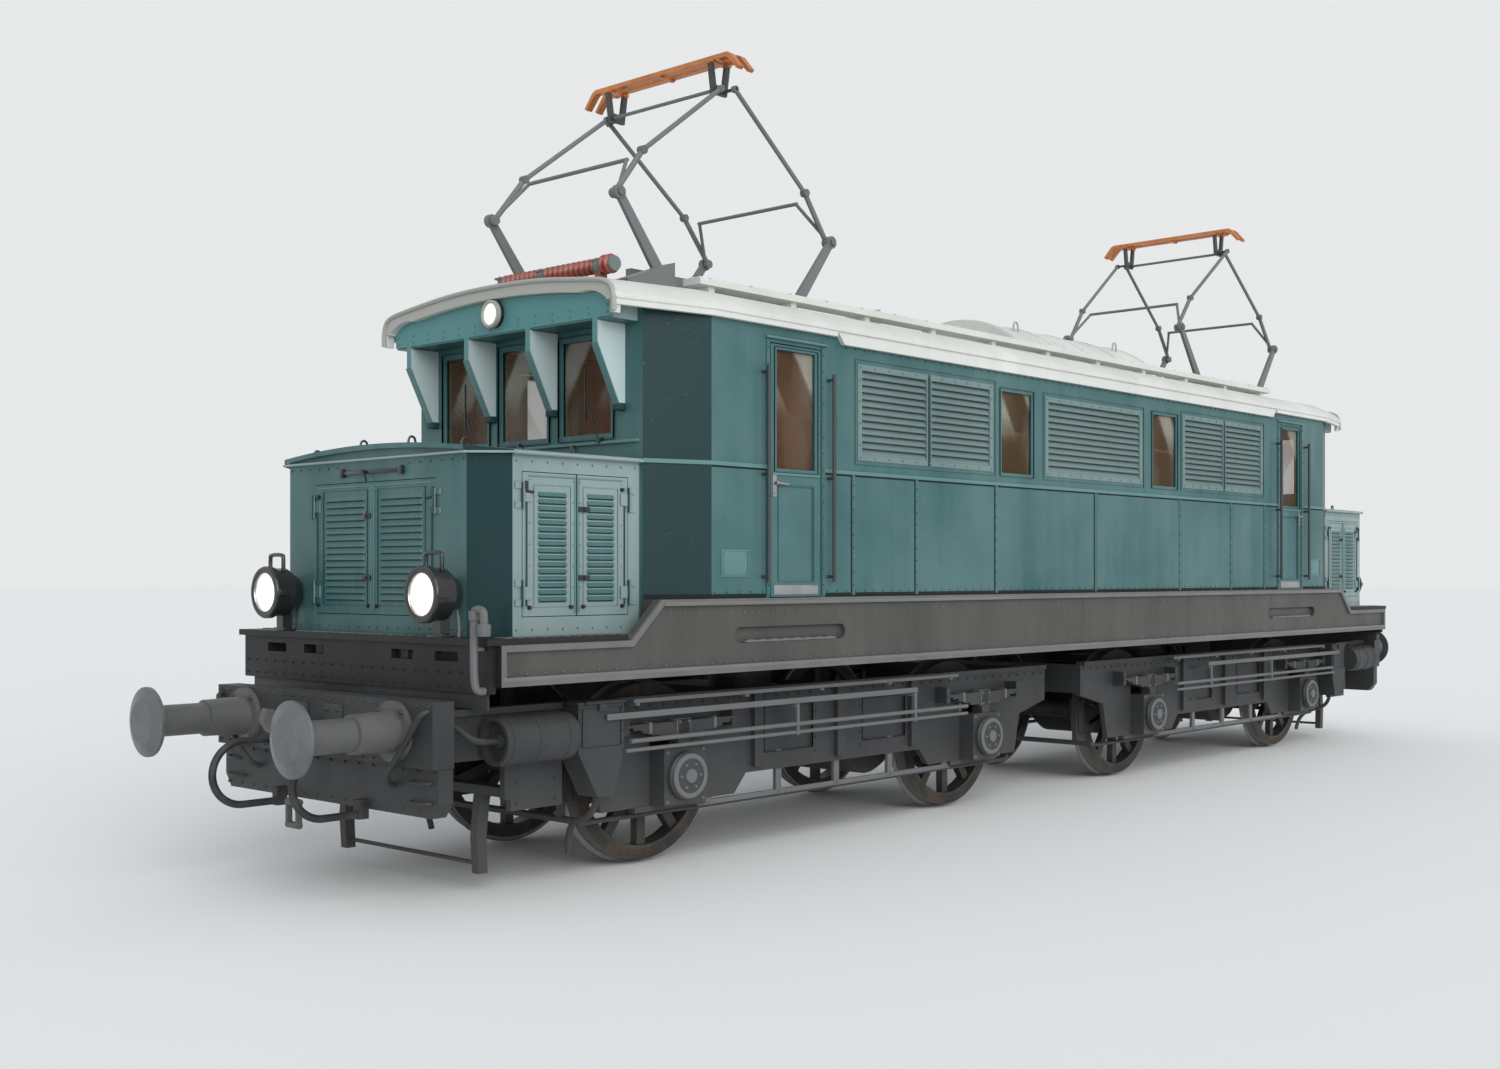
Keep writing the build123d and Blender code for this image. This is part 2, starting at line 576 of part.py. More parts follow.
def handrails():
    """Long grab rails either side of each cab door."""
    for x in (CAB_DOOR.start - 75, CAB_DOOR.end + 75):
        rail = joined([rod_z(15, 1950, 3480, x, BODY_HALF + 65)] +
                      [rod_y(12, BODY_HALF, BODY_HALF + 65, x, z) for z in (1990, 2715, 3440)])
        for side in both_sides(rail):
            add("handrails", *both_ends(side))


def pantographs():
    """Two diamond pantographs: base frames, two lower frames, two upper frames and a head each."""
    beam = block(PANTO_X - BASE_REACH - 140, PANTO_X + BASE_REACH + 140, 520, 580, BASE_Z - 50, BASE_Z + 50)
    parts = both_sides(beam)
    parts += [block(PANTO_X + dx - 40, PANTO_X + dx + 40, -550, 550, BASE_Z - 40, BASE_Z + 40)
              for dx in (290 - BASE_REACH, BASE_REACH - 290)]
    base = joined(parts) - [rod_y(30 + FIT, -600, 600, PANTO_X + s * BASE_REACH, BASE_Z) for s in (1, -1)]
    slope = [(WEDGE_X, 4000), (WEDGE_X + 430, 4000), (WEDGE_X + 430, 4050), (WEDGE_X, 4215)]
    wedge = plate_y(slope, WALK_Y - 75, WALK_Y + 75)
    for shape in (base, wedge):
        add("pantograph_bases", *both_ends(shape))

    for name, s in (("outer", 1), ("inner", -1)):
        root = (PANTO_X + s * BASE_REACH, BASE_Z)
        knee = (PANTO_X + s * KNEE[0], KNEE[1])
        apex = (PANTO_X + s * APEX[0], APEX[1])
        tip_y = 655 if s > 0 else 725
        lower = [rod_y(30, -680, 680, *root)]
        length = hypot(knee[0] - root[0], knee[1] - root[1])
        across = ((root[1] - knee[1]) / length, (knee[0] - root[0]) / length)
        bar = [(spot[0] + k * half * across[0], spot[1] + k * half * across[1])
               for spot, half, k in ((root, 46, 1), (root, 46, -1), (knee, 31, -1), (knee, 31, 1))]
        for side in (1, -1):
            lower.append(rod_y(48, side * 600, side * 752, *root))
            lower.append(plate_y(bar, *sorted((side * 718, side * 750))))
            lower.append(rod_y(50, side * 715, side * 755, *knee))
            lower.append(rod_y(16, side * 665, side * 740, *knee))
        reach = hypot(apex[0] - knee[0], apex[1] - knee[1])
        out = ((apex[1] - knee[1]) / reach * s, abs(apex[0] - knee[0]) / reach)
        upper = []
        for side in (1, -1):
            def at(t, y):
                bulge = BULGE * min(t / BULGE_AT, (1 - t) / (1 - BULGE_AT))
                return (knee[0] + (apex[0] - knee[0]) * t + out[0] * bulge, side * y,
                        knee[1] + (apex[1] - knee[1]) * t + out[1] * bulge)
            bend_y = 690 + (tip_y - 690) * BULGE_AT
            upper.append(rod(at(0.02, 690), at(BULGE_AT + 0.004, bend_y), 21))
            upper.append(rod(at(BULGE_AT - 0.004, bend_y), at(0.985, tip_y), 18))
            upper.append(rod_y(36, side * 668, side * 702, *knee))
            upper.append(rod(at(0.05, 688), at(0.25, 560), 14))
            if side > 0:
                upper.append(rod(at(0.25, 572), at(0.25, -572), 15))
            upper.append(rod_y(26, side * (tip_y - 18), side * (tip_y + 18), *apex))
        if s > 0:
            upper.append(rod_y(14, -(tip_y + 10), tip_y + 10, *apex))
        upper = joined(upper) - [rod_y(16 + FIT, side * 660, side * 712, *knee) for side in (1, -1)]
        if s < 0:
            upper = upper - [rod_y(14, side * 690, side * 760, *apex) for side in (1, -1)]
        for number, turn in ((1, lambda shape: shape), (2, end_two)):
            add(f"pantograph_{number}_lower_{name}", turn(joined(lower)))
            add(f"pantograph_{number}_upper_{name}", turn(upper))

    head = []
    for dx in (-55, 55):
        x = PANTO_X + dx
        head.append(block(x - 28, x + 28, -HEAD_HALF, HEAD_HALF, HEAD_TOP - 35, HEAD_TOP))
        for side in (1, -1):
            horn = [(side * (HEAD_HALF + y), HEAD_TOP + z) for y, z in (
                (-10, -35), (-10, 0), (28, -14), (128, -128), (104, -146), (12, -50))]
            head.append(plate_x(horn, x - 28, x + 28))
    for y in (0, HEAD_HALF - 100, 100 - HEAD_HALF):
        head.append(block(PANTO_X - 80, PANTO_X + 80, y - 20, y + 20, HEAD_TOP - 48, HEAD_TOP - 30))
    for side in (1, -1):
        fork = [(PANTO_X + x, z) for x, z in (
            (-75, APEX[1] - 30), (75, APEX[1] - 30), (108, HEAD_TOP - 40), (64, HEAD_TOP - 40), (38, APEX[1] + 40),
            (-38, APEX[1] + 40), (-64, HEAD_TOP - 40), (-108, HEAD_TOP - 40))]
        head.append(plate_y(fork, *sorted((side * 575, side * 605))))
        head.append(block(PANTO_X - 108, PANTO_X + 108, *sorted((side * 560, side * 620)), HEAD_TOP - 50,
                          HEAD_TOP - 30))
        head.append(rod_y(24, side * 560, side * 625, PANTO_X + APEX[0], APEX[1]))
        head.append(rod_y(13, side * 600, side * 698, PANTO_X - APEX[0], APEX[1]))
    head = joined(head) - [rod_y(14 + FIT, -640, 640, PANTO_X + APEX[0], APEX[1])]
    add("pantograph_1_head", head)
    add("pantograph_2_head", end_two(head))


def wheelsets():
    """Spoked wheel pairs on their axles."""
    inner = BACK_TO_BACK / 2
    outer = inner + TYRE_WIDTH
    rim = [(TREAD_R - 100, inner), (TREAD_R + 15, inner), (TREAD_R + FLANGE_DEPTH, inner + 10),
           (TREAD_R + FLANGE_DEPTH, inner + 20), (TREAD_R + 2, inner + 32), (TREAD_R - 4, outer),
           (TREAD_R - 100, outer)]
    hub = [(60, inner - 15), (165, inner - 15), (165, outer + 40), (60, outer + 40)]
    for i, x in enumerate(AXLES):
        parts = [turned_y(rim, x, TREAD_R), turned_y(hub, x, TREAD_R)]
        for k in range(10):
            spoke = block(-38, 38, inner + 40, inner + 105, 130, TREAD_R - 80)
            parts.append(Pos(x, 0, TREAD_R) * (Rot(0, 36 * k, 0) * spoke))
        wheel = joined(parts)
        axle = joined([rod_y(AXLE_R, -870, 870, x, TREAD_R), rod_y(JOURNAL_R, -1225, 1225, x, TREAD_R)])
        shape = joined([axle] + both_sides(wheel))
        add(f"wheelset_1_{('outer', 'inner')[i]}", shape)
        add(f"wheelset_2_{('outer', 'inner')[i]}", end_two(shape))


def bogie_frames():
    """Outside plate frames with bolster, stretchers, headstock, guard irons and sandboxes."""
    foot = TREAD_R - 205
    outline = [(300, 1180), (6790, 1180), (6790, 860), (6260, 860), (6240, 515), (5840, 515), (5840, 800),
               (5620, 800),
               (5520, foot), (4280, foot),
               (4160, foot + 140), (2140, foot + 140), (2020, foot), (780, foot), (700, 760), (300, 860)]
    plate = plate_y(outline, 1040, 1090)
    cuts = [block(x - 190, x + 190, 1030, 1100, foot - 20, TREAD_R + 315) for x in AXLES]
    cuts += [block(2330, 2860, 1068, 1100, 690, 1030), block(3440, 3970, 1068, 1100, 690, 1030)]
    plate = plate - cuts
    side = [plate, block(320, 6770, 1080, 1125, 1140, 1180)]
    side += [block(x - 330, x + 330, 1030, 1100, foot - 35, foot + 5) for x in AXLES]
    side += [block(x - 45, x + 45, 1085, 1130, 600, 1150) for x in (3150, 2240, 4060)]
    side.append(plate_y([(5480, 1170), (5480, 860), (5560, 560), (5700, 560), (5860, 860), (5860, 1170)],
                        1080, 1280))
    iron = [(6180, 640), (6260, 640), (6290, 330), (6275, 90), (6205, 90), (6215, 330)]
    side.append(plate_y(iron, 730, 800))
    shapes = [s for shape in side for s in both_sides(shape)]
    shapes.append(rod_y(14, -770, 770, 6240, 150))
    shapes.append(block(6170, 6270, -1060, 1060, 600, 660))
    shapes += [block(6150, 6290, *sorted((s * 1040, s * 1090)), 590, 900) for s in (1, -1)]
    shapes.append(block(300, 380, -1060, 1060, 880, 1150))
    shapes.append(block(2850, 3450, -1060, 1060, 820, 1100))
    shapes.append(rod_z(250, 1090, 1180 - 0.3, PIVOT_X, 0))
    shapes.append(block(6780, HEADSTOCK_X, -1260, 1260, 850, 1250))
    shapes.append(plate_x([(-1180, 550), (1180, 550), (1250, 640), (1250, 860), (-1250, 860), (-1250, 640)],
                          6780, 6880))
    frame = joined(shapes) - [rod_z(110 + FIT, 800, 1200, PIVOT_X, 0)]
    add("bogie_1_frame", frame)
    add("bogie_2_frame", end_two(frame))


def suspension():
    """Axle boxes in their guides with leaf springs over them."""
    for x in AXLES:
        box = block(x - 190, x + 190, 985, 1240, TREAD_R - 195, TREAD_R + 195)
        cover = turned_y([(0, 1235), (165, 1235), (165, 1270), (135, 1300), (0, 1300)], x, TREAD_R)
        box = (box + [cover]) - [rod_y(JOURNAL_R + FIT, 970, 1226, x, TREAD_R)]
        low = TREAD_R + 275
        leaves = [block(x - 210 - 80 * i, x + 210 + 80 * i, 1135, 1225, low + 20 * i, low + 20 * i + 21)
                  for i in range(5)]
        buckle = block(x - 55, x + 55, 1128, 1232, low - 90, low + 115)
        hangers = [block(x + s * 500 - 25, x + s * 500 + 25, 1090, 1215, low + 30, low + 160)
                   for s in (1, -1)]
        shape = joined([box, buckle] + leaves + hangers)
        for side in both_sides(shape):
            add("bogie_1_suspension", side)
            add("bogie_2_suspension", end_two(side))


def brake_rigging():
    """Brake blocks on hangers at the outer side of both axles, with cross bars, pull rods and cylinders."""
    parts, hang = [], TREAD_R + 67
    for x, s in ((AXLES[0], 1), (AXLES[1], -1)):
        for side in (1, -1):
            worn = TREAD_R + 9
            ring = turned_y([(worn, 724), (worn + 56, 724), (worn + 56, 808), (worn, 808)], x, TREAD_R)
            shoe = ring & block(x + s * (TREAD_R - 65), x + s * (TREAD_R + 95), 700, 830, TREAD_R - 155,
                                TREAD_R + 155)
            shoe = shoe if side > 0 else mirrored(shoe)
            parts.append(shoe)
            parts.append(block(x + s * (hang - 20), x + s * (hang + 20), *sorted((side * 742, side * 790)),
                               340, 1075))
            parts.append(rod_y(26, side * 745, side * 1040, x + s * hang, 1060))
        parts.append(rod_y(24, -960, 960, x + s * hang, 360))
    for side in (1, -1):
        parts.append(rod_x(19, AXLES[1] - hang - 8, AXLES[0] + hang + 8, side * 945, 345))
    for side in (1, -1):
        cylinder = turned_x([(0, 5930), (135, 5930), (150, 5950), (150, 6500), (128, 6500), (128, 6440),
                             (0, 6440)],
                            side * 1262, 985)
        bracket = block(6040, 6140, *sorted((side * 1090, side * 1180)), 900, 1070)
        for shape in [cylinder + [bracket]]:
            add("bogie_1_brakes", shape)
            add("bogie_2_brakes", end_two(shape))
    rigging = joined(parts)
    add("bogie_1_brakes", rigging)
    add("bogie_2_brakes", end_two(rigging))


def traction_motors():
    """Nose-hung motors between the wheels, hugging the axles and resting on the bolster."""
    for x, s in ((AXLES[0], -1), (AXLES[1], 1)):
        centre, level = x + s * (TREAD_R + 65), TREAD_R + 65
        case = turned_y([(0, -520), (340, -520), (380, -460), (380, 460), (340, 520), (0, 520)], centre,
                        level)
        lugs = [block(x - s * 130, centre, *sorted((k * 330, k * 470)), level - 170,
                      level + 50) for k in (1, -1)]
        nose = block(centre, PIVOT_X - s * 300, -150, 150, 850, 950)
        back = BACK_TO_BACK / 2 - 40
        gear = joined([rod_y(330, back - 80, back, x, TREAD_R), rod_y(190, back - 140, back, centre, level),
                       block(x, centre, back - 80, back, level - 190, level + 190)])
        motor = joined([case, nose, gear] + lugs) - [rod_y(AXLE_R + FIT, -700, 700, x, TREAD_R)]
        add("bogie_1_motors", motor)
        add("bogie_2_motors", end_two(motor))


def draw_gear():
    """Buffers, draw hook with its screw coupling."""
    buffer = turned_x([(0, HEADSTOCK_X), (185, HEADSTOCK_X), (185, 6965), (128, 6965), (120, 7230),
                       (102, 7235),
                       (102, 7560), (150, 7585), (225, 7592), (225, 7612), (140, BUFFER_FACE_X),
                       (0, BUFFER_FACE_X)], BUFFER_Y, BUFFER_Z)
    hook = [(HEADSTOCK_X, 985), (7160, 985), (7265, 1025), (7310, 1100), (7285, 1175), (7235, 1165),
            (7245, 1110),
            (7200, 1072), (7110, 1075), (HEADSTOCK_X, 1075)]
    parts = [plate_y(hook, -30, 30), rod_y(22, -95, 95, 7090, 1030)]
    parts += [block(7070, 7110, *sorted((k * 62, k * 88)), 780, 1050) for k in (1, -1)]
    parts += [rod_y(26, -92, 92, 7090, 790), rod_z(22, 560, 800, 7090, 0), rod_y(24, -70, 70, 7090, 570)]
    parts += [block(7072, 7108, *sorted((k * 48, k * 70)), 420, 580) for k in (1, -1)]
    parts.append(rod_y(22, -70, 70, 7090, 425))
    for shape in both_sides(buffer) + [joined(parts)]:
        add("bogie_1_draw_gear", shape)
        add("bogie_2_draw_gear", end_two(shape))


def brake_hoses():
    """Hoses looped from the headstock to their holders on the lower beam."""
    for y in (-480, 480):
        path = Wire([Edge.make_line((HEADSTOCK_X, y, 930), (7170, y, 930)),
                     Edge.make_three_point_arc((7170, y, 930), (7375, y, 725), (7170, y, 520)),
                     Edge.make_line((7170, y, 520), (6900, y, 520))])
        hose = sweep(Plane(origin=(HEADSTOCK_X, y, 930), z_dir=(1, 0, 0)) * Circle(24), path=path)
        hose = joined([hose, rod_x(40, HEADSTOCK_X, 6990, y, 930),
                       block(6880, 6950, y - 32, y + 32, 490, 610)])
        add("bogie_1_hoses", hose)
        add("bogie_2_hoses", end_two(hose))


def build_all():
    """Build every piece and write one STEP file for each."""
    for make in (underframe, side_walls, cab_doors, side_louvres, cab_fronts, roof, roof_fittings, hoods,
                 hood_doors,
                 glazing_and_lamps, interior, handrails, pantographs, wheelsets, bogie_frames, suspension,
                 brake_rigging, traction_motors, draw_gear, brake_hoses):
        make()
    for name, solids in pieces.items():
        lifted = [s.moved(Location((0, 0, FLANGE_DEPTH))) for s in solids]
        export_step(lifted[0] if len(lifted) == 1 else Compound(lifted), f"parts/{name}.step")
        print(name, len(lifted), "solids")


build_all()
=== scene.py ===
"""Dresses the electric locomotive: finishes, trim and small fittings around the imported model."""
from __future__ import annotations

import json
import logging
import math
from dataclasses import dataclass, replace
from enum import Enum
from typing import Iterable, Sequence

import bmesh
import bpy
from mathutils import Matrix, Vector

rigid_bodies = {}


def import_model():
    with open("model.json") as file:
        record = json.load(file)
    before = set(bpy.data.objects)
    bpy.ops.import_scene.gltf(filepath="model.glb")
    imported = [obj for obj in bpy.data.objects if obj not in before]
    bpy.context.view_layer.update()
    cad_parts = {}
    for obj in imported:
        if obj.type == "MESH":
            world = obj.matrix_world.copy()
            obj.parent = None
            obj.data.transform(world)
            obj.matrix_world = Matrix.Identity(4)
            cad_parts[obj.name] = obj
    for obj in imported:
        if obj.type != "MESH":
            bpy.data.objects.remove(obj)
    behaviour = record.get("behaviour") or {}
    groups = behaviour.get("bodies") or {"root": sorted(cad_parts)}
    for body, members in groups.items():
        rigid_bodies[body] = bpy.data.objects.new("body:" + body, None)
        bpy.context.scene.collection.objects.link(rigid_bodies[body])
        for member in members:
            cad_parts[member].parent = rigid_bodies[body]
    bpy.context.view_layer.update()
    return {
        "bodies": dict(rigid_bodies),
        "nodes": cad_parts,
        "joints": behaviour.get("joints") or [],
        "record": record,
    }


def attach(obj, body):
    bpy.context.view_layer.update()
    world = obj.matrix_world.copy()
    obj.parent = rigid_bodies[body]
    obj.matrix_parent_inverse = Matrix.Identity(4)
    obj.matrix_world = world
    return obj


LOG = logging.getLogger("locomotive")
RAIL = 0.028
SMOOTH_ANGLE = math.radians(38.0)
BODY = "carbody"
Point = tuple[float, float, float]
Colour = tuple[float, float, float]


class Axis(Enum):
    """Directions that a turned or drawn piece can run along."""

    X = (1.0, 0.0, 0.0)
    Y = (0.0, 1.0, 0.0)
    Z = (0.0, 0.0, 1.0)


class End(Enum):
    """The two ends of the body: end 2 is end 1 turned half round."""

    ONE = 1
    TWO = 2

    def turn(self) -> Matrix:
        """Returns the turn that brings a piece from end 1 to this end."""
        return Matrix.Rotation(0.0 if self is End.ONE else math.pi, 4, "Z")


FLIP = Matrix.Diagonal((1.0, -1.0, 1.0, 1.0))


class Signal:
    """A number on its way through a shader's nodes, with ordinary arithmetic."""

    def __init__(self, shader: "Shader", socket: bpy.types.NodeSocket) -> None:
        """Keeps the shader and the socket that gives the number."""
        self.shader = shader
        self.socket = socket

    def _math(self, operation: str, first: object, second: object) -> "Signal":
        """Adds one Math node.

        Args:
            operation: the node's operation.
            first: left value or signal.
            second: right value or signal.

        Returns:
            The result as a signal.
        """
        node = self.shader.node("ShaderNodeMath", {"operation": operation}, {0: first, 1: second})
        return Signal(self.shader, node.outputs[0])

    def __add__(self, other: object) -> "Signal":
        """Sum."""
        return self._math("ADD", self, other)

    def __radd__(self, other: object) -> "Signal":
        """Sum with the number first."""
        return self._math("ADD", other, self)

    def __sub__(self, other: object) -> "Signal":
        """Difference."""
        return self._math("SUBTRACT", self, other)

    def __rsub__(self, other: object) -> "Signal":
        """Difference with the number first."""
        return self._math("SUBTRACT", other, self)

    def __mul__(self, other: object) -> "Signal":
        """Product."""
        return self._math("MULTIPLY", self, other)

    def __rmul__(self, other: object) -> "Signal":
        """Product with the number first."""
        return self._math("MULTIPLY", other, self)

    def __pow__(self, other: object) -> "Signal":
        """Power."""
        return self._math("POWER", self, other)

    def __abs__(self) -> "Signal":
        """Size without its sign."""
        return self._math("ABSOLUTE", self, 0.0)

    def sine(self) -> "Signal":
        """Sine, with the number as an angle in radians."""
        return self._math("SINE", self, 0.0)

    def band(self, low: float, high: float) -> "Signal":
        """Maps a range to 0 to 1 and holds it there.

        Args:
            low: the value that becomes 0.
            high: the value that becomes 1.

        Returns:
            The mapped signal.
        """
        node = self.shader.node("ShaderNodeMapRange", {"clamp": True},
                                {0: self, 1: low, 2: high, 3: 0.0, 4: 1.0})
        return Signal(self.shader, node.outputs[0])


class Shader:
    """The node tree of one material."""

    def __init__(self, name: str) -> None:
        """Starts an empty material with a surface shader.

        Args:
            name: the material's name.
        """
        self.material = bpy.data.materials.new(name)
        self.material.use_nodes = True
        self.tree = self.material.node_tree
        self.tree.nodes.clear()
        self.output = self.tree.nodes.new("ShaderNodeOutputMaterial")
        self.surface = self.node("ShaderNodeBsdfPrincipled")
        self.tree.links.new(self.surface.outputs[0], self.output.inputs[0])
        self.place = self.node("ShaderNodeTexCoord").outputs["Object"]

    def node(self, kind: str, settings: dict | None = None, inputs: dict | None = None) -> bpy.types.Node:
        """Adds a node.

        Args:
            kind: the node's type.
            settings: properties, set first; a ramp's stops are given as "stops".
            inputs: values or links by socket name or number.

        Returns:
            The node.
        """
        node = self.tree.nodes.new(kind)
        for key, value in (settings or {}).items():
            if key == "stops":
                ramp = node.color_ramp
                while len(ramp.elements) < len(value):
                    ramp.elements.new(0.5)
                for element, (spot, colour) in zip(ramp.elements, value):
                    element.position = spot
                    element.color = (*colour, 1.0)
            else:
                setattr(node, key, value)
        for key, value in (inputs or {}).items():
            self.feed(node.inputs[key], value)
        return node

    def feed(self, socket: bpy.types.NodeSocket, value: object) -> None:
        """Sets or links one socket.

        Args:
            socket: the socket to fill.
            value: a signal, a socket, a number or a tuple.
        """
        if isinstance(value, Signal):
            value = value.socket
        if isinstance(value, bpy.types.NodeSocket):
            self.tree.links.new(value, socket)
        elif isinstance(value, tuple) and socket.type == "RGBA" and len(value) == 3:
            socket.default_value = (*value, 1.0)
        else:
            socket.default_value = value

    def mapped(self, scale: Point) -> bpy.types.NodeSocket:
        """Object coordinates stretched by a scale for each axis."""
        return self.node("ShaderNodeMapping", None, {"Vector": self.place, "Scale": scale}).outputs[0]

    def noise(self, scale: float, detail: float = 3.0, stretch: Point = (1.0, 1.0, 1.0)) -> Signal:
        """Cloudy noise over the surface.

        Args:
            scale: spots per metre.
            detail: octaves of finer noise.
            stretch: scale for each axis.

        Returns:
            The noise, about 0.5 on average.
        """
        node = self.node("ShaderNodeTexNoise", None,
                         {"Vector": self.mapped(stretch), "Scale": scale, "Detail": detail,
                          "Roughness": 0.6})
        return Signal(self, node.outputs[0])

    def along(self, axis: "Axis") -> Signal:
        """Distance from the object's middle along one axis, in metres."""
        node = self.node("ShaderNodeSeparateXYZ", None, {0: self.place})
        return Signal(self, node.outputs[axis.value.index(1.0)])

    def facing_up(self) -> Signal:
        """1 where the surface faces the sky and 0 where it is upright."""
        normal = self.node("ShaderNodeNewGeometry").outputs["Normal"]
        node = self.node("ShaderNodeSeparateXYZ", None, {0: normal})
        return Signal(self, node.outputs[2]).band(0.3, 0.9)

    def facing(self, axis: "Axis") -> Signal:
        """How squarely the surface faces along an axis, either way, in the piece's own frame."""
        normal = self.node("ShaderNodeTexCoord").outputs["Normal"]
        node = self.node("ShaderNodeSeparateXYZ", None, {0: normal})
        return abs(Signal(self, node.outputs[axis.value.index(1.0)]))

    def mix(self, factor: object, first: object, second: object) -> bpy.types.NodeSocket:
        """A colour between two others.

        Args:
            factor: share of the second colour.
            first: colour at 0.
            second: colour at 1.

        Returns:
            The colour's socket.
        """
        node = self.node("ShaderNodeMix", {"data_type": "RGBA"})
        self.feed(node.inputs[0], factor)
        self.feed(node.inputs[6], first)
        self.feed(node.inputs[7], second)
        return node.outputs[2]

    def bump(self, height: Signal, distance: float, strength: float = 1.0) -> None:
        """Raises the surface by a signal.

        Args:
            height: the relief, 0 to 1.
            distance: height of the relief in metres.
            strength: share of the relief that is used.
        """
        node = self.node("ShaderNodeBump", None,
                         {"Height": height, "Distance": distance, "Strength": strength})
        self.feed(self.surface.inputs["Normal"], node.outputs[0])

    def orange_peel(self, cloud: Signal) -> None:
        """Gives paint its fine relief."""
        self.bump(self.noise(150.0, 2.0) * 0.5 + cloud * 0.5, 0.0012, 0.35)

    def set(self, **values: object) -> None:
        """Fills sockets of the surface shader; underscores stand for spaces."""
        for key, value in values.items():
            self.feed(self.surface.inputs[key.replace("_", " ")], value)


def chipped(speck: Signal, cloud: Signal) -> Signal:
    """1 where paint has chipped off in small spots."""
    return (speck + cloud * 0.35).band(0.86, 0.92)


class Finish:
    """What every finish has: a name and a material that is made once."""

    made: dict[str, bpy.types.Material] = {}
    name: str

    def dress(self, shader: Shader) -> None:
        """Fills the shader; each finish has its own."""
        raise NotImplementedError

    def material(self) -> bpy.types.Material:
        """Returns the finish's material, made on first use."""
        if self.name not in Finish.made:
            shader = Shader(self.name)
            self.dress(shader)
            Finish.made[self.name] = shader.material
        return Finish.made[self.name]


@dataclass(frozen=True)
class Paint(Finish):
    """Brushed or sprayed paint with slow changes of tone, rain streaks and dust on what faces up."""

    name: str
    colour: Colour
    shade: Colour
    dust: Colour = (0.16, 0.15, 0.13)
    roughness: float = 0.42
    streaks: float = 0.35
    dusting: float = 0.25
    grime_top: float = 0.0
    coat: float = 0.0
    metallic: float = 0.0
    sheen: float = 0.28
    corner_shade_share: float = 0.0
    corner_shade_tone: Colour = (0.003, 0.028, 0.031)
    end_from: float = 0.0
    end_colour_and_painted_light: Colour = (0.42, 0.42, 0.38)
    lit_side_from: float = 0.0
    lit_side_tone: Colour = (0.245, 0.315, 0.312)

    def dress(self, shader: Shader) -> None:
        """Mixes tone, streaks, dust and grime, with a fine orange-peel relief."""
        cloud = shader.noise(0.9, 4.0)
        streak = shader.noise(5.0, 3.0, (1.0, 1.0, 0.08))
        speck = shader.noise(46.0, 2.0)
        tone = (cloud * 0.6 + streak * self.streaks * 0.8).band(0.34, 0.66)
        base = shader.mix(tone, self.colour, self.shade)
        # painted shade: faces slanted between X and Y, such as the cab corners, are darkened toward a deep
        # teal
        if self.corner_shade_share > 0.0:
            slant = (shader.facing(Axis.X) * shader.facing(Axis.Y)).band(0.20, 0.30)
            base = shader.mix(slant * self.corner_shade_share, base, self.corner_shade_tone)
        # faces that look along X beyond the given distance take the end colour: the roof's own grey end
        # face, and on the cab front a brighter teal that is painted light on the shaded fascia
        if self.end_from > 0.0:
            end = abs(shader.along(Axis.X)).band(self.end_from, self.end_from + 0.002)
            base = shader.mix(end * shader.facing(Axis.X).band(0.5, 0.7), base, self.end_colour_and_painted_light)
        # painted light: faces that look along Y beyond the given distance, the hood sides, are paled toward
        # a grey teal
        if self.lit_side_from > 0.0:
            side = abs(shader.along(Axis.X)).band(self.lit_side_from, self.lit_side_from + 0.002)
            pale = shader.mix(tone * 0.5, self.lit_side_tone, self.colour)
            base = shader.mix(side * shader.facing(Axis.Y).band(0.9, 0.97), base, pale)
        dust = shader.facing_up() * cloud.band(0.35, 0.7) * self.dusting
        base = shader.mix(dust, base, self.dust)
        if self.grime_top > 0.0:
            low = (shader.along(Axis.Z) * (1.0 / self.grime_top) + (speck - 0.5) * 0.5).band(1.0, 0.1)
            base = shader.mix(low * 0.55, base, self.dust)
        base = shader.mix(chipped(speck, cloud) * 0.35, base, self.dust)
        rough = (self.roughness + (cloud - 0.5) * 0.22 + (streak - 0.5) * 0.12 + dust * 0.3).band(0.0, 1.0)
        shader.set(Base_Color=base, Roughness=rough, Metallic=self.metallic, Coat_Weight=self.coat,
                   Specular_IOR_Level=self.sheen)
        shader.orange_peel(cloud)


@dataclass(frozen=True)
class Steel(Finish):
    """Bare or turned metal with fine scratches, dark stains and a little rust."""

    name: str
    colour: Colour
    stain: Colour
    rust: Colour = (0.17, 0.075, 0.032)
    roughness: float = 0.36
    rusting: float = 0.2
    grain: Point = (1.0, 1.0, 1.0)

    def dress(self, shader: Shader) -> None:
        """Mixes stains and rust over the metal and scratches its gloss."""
        cloud = shader.noise(3.2, 5.0)
        scratch = shader.noise(60.0, 2.0, self.grain)
        rust = (cloud * 0.7 + scratch * 0.4).band(0.62, 0.8) * self.rusting
        base = shader.mix(cloud.band(0.35, 0.75), self.colour, self.stain)
        base = shader.mix(rust, base, self.rust)
        shader.set(Base_Color=base, Metallic=1.0 - rust * 0.9,
                   Roughness=(self.roughness + (scratch - 0.5) * 0.3 + rust * 0.35).band(0.0, 1.0))
        shader.bump(scratch, 0.0006, 0.3)


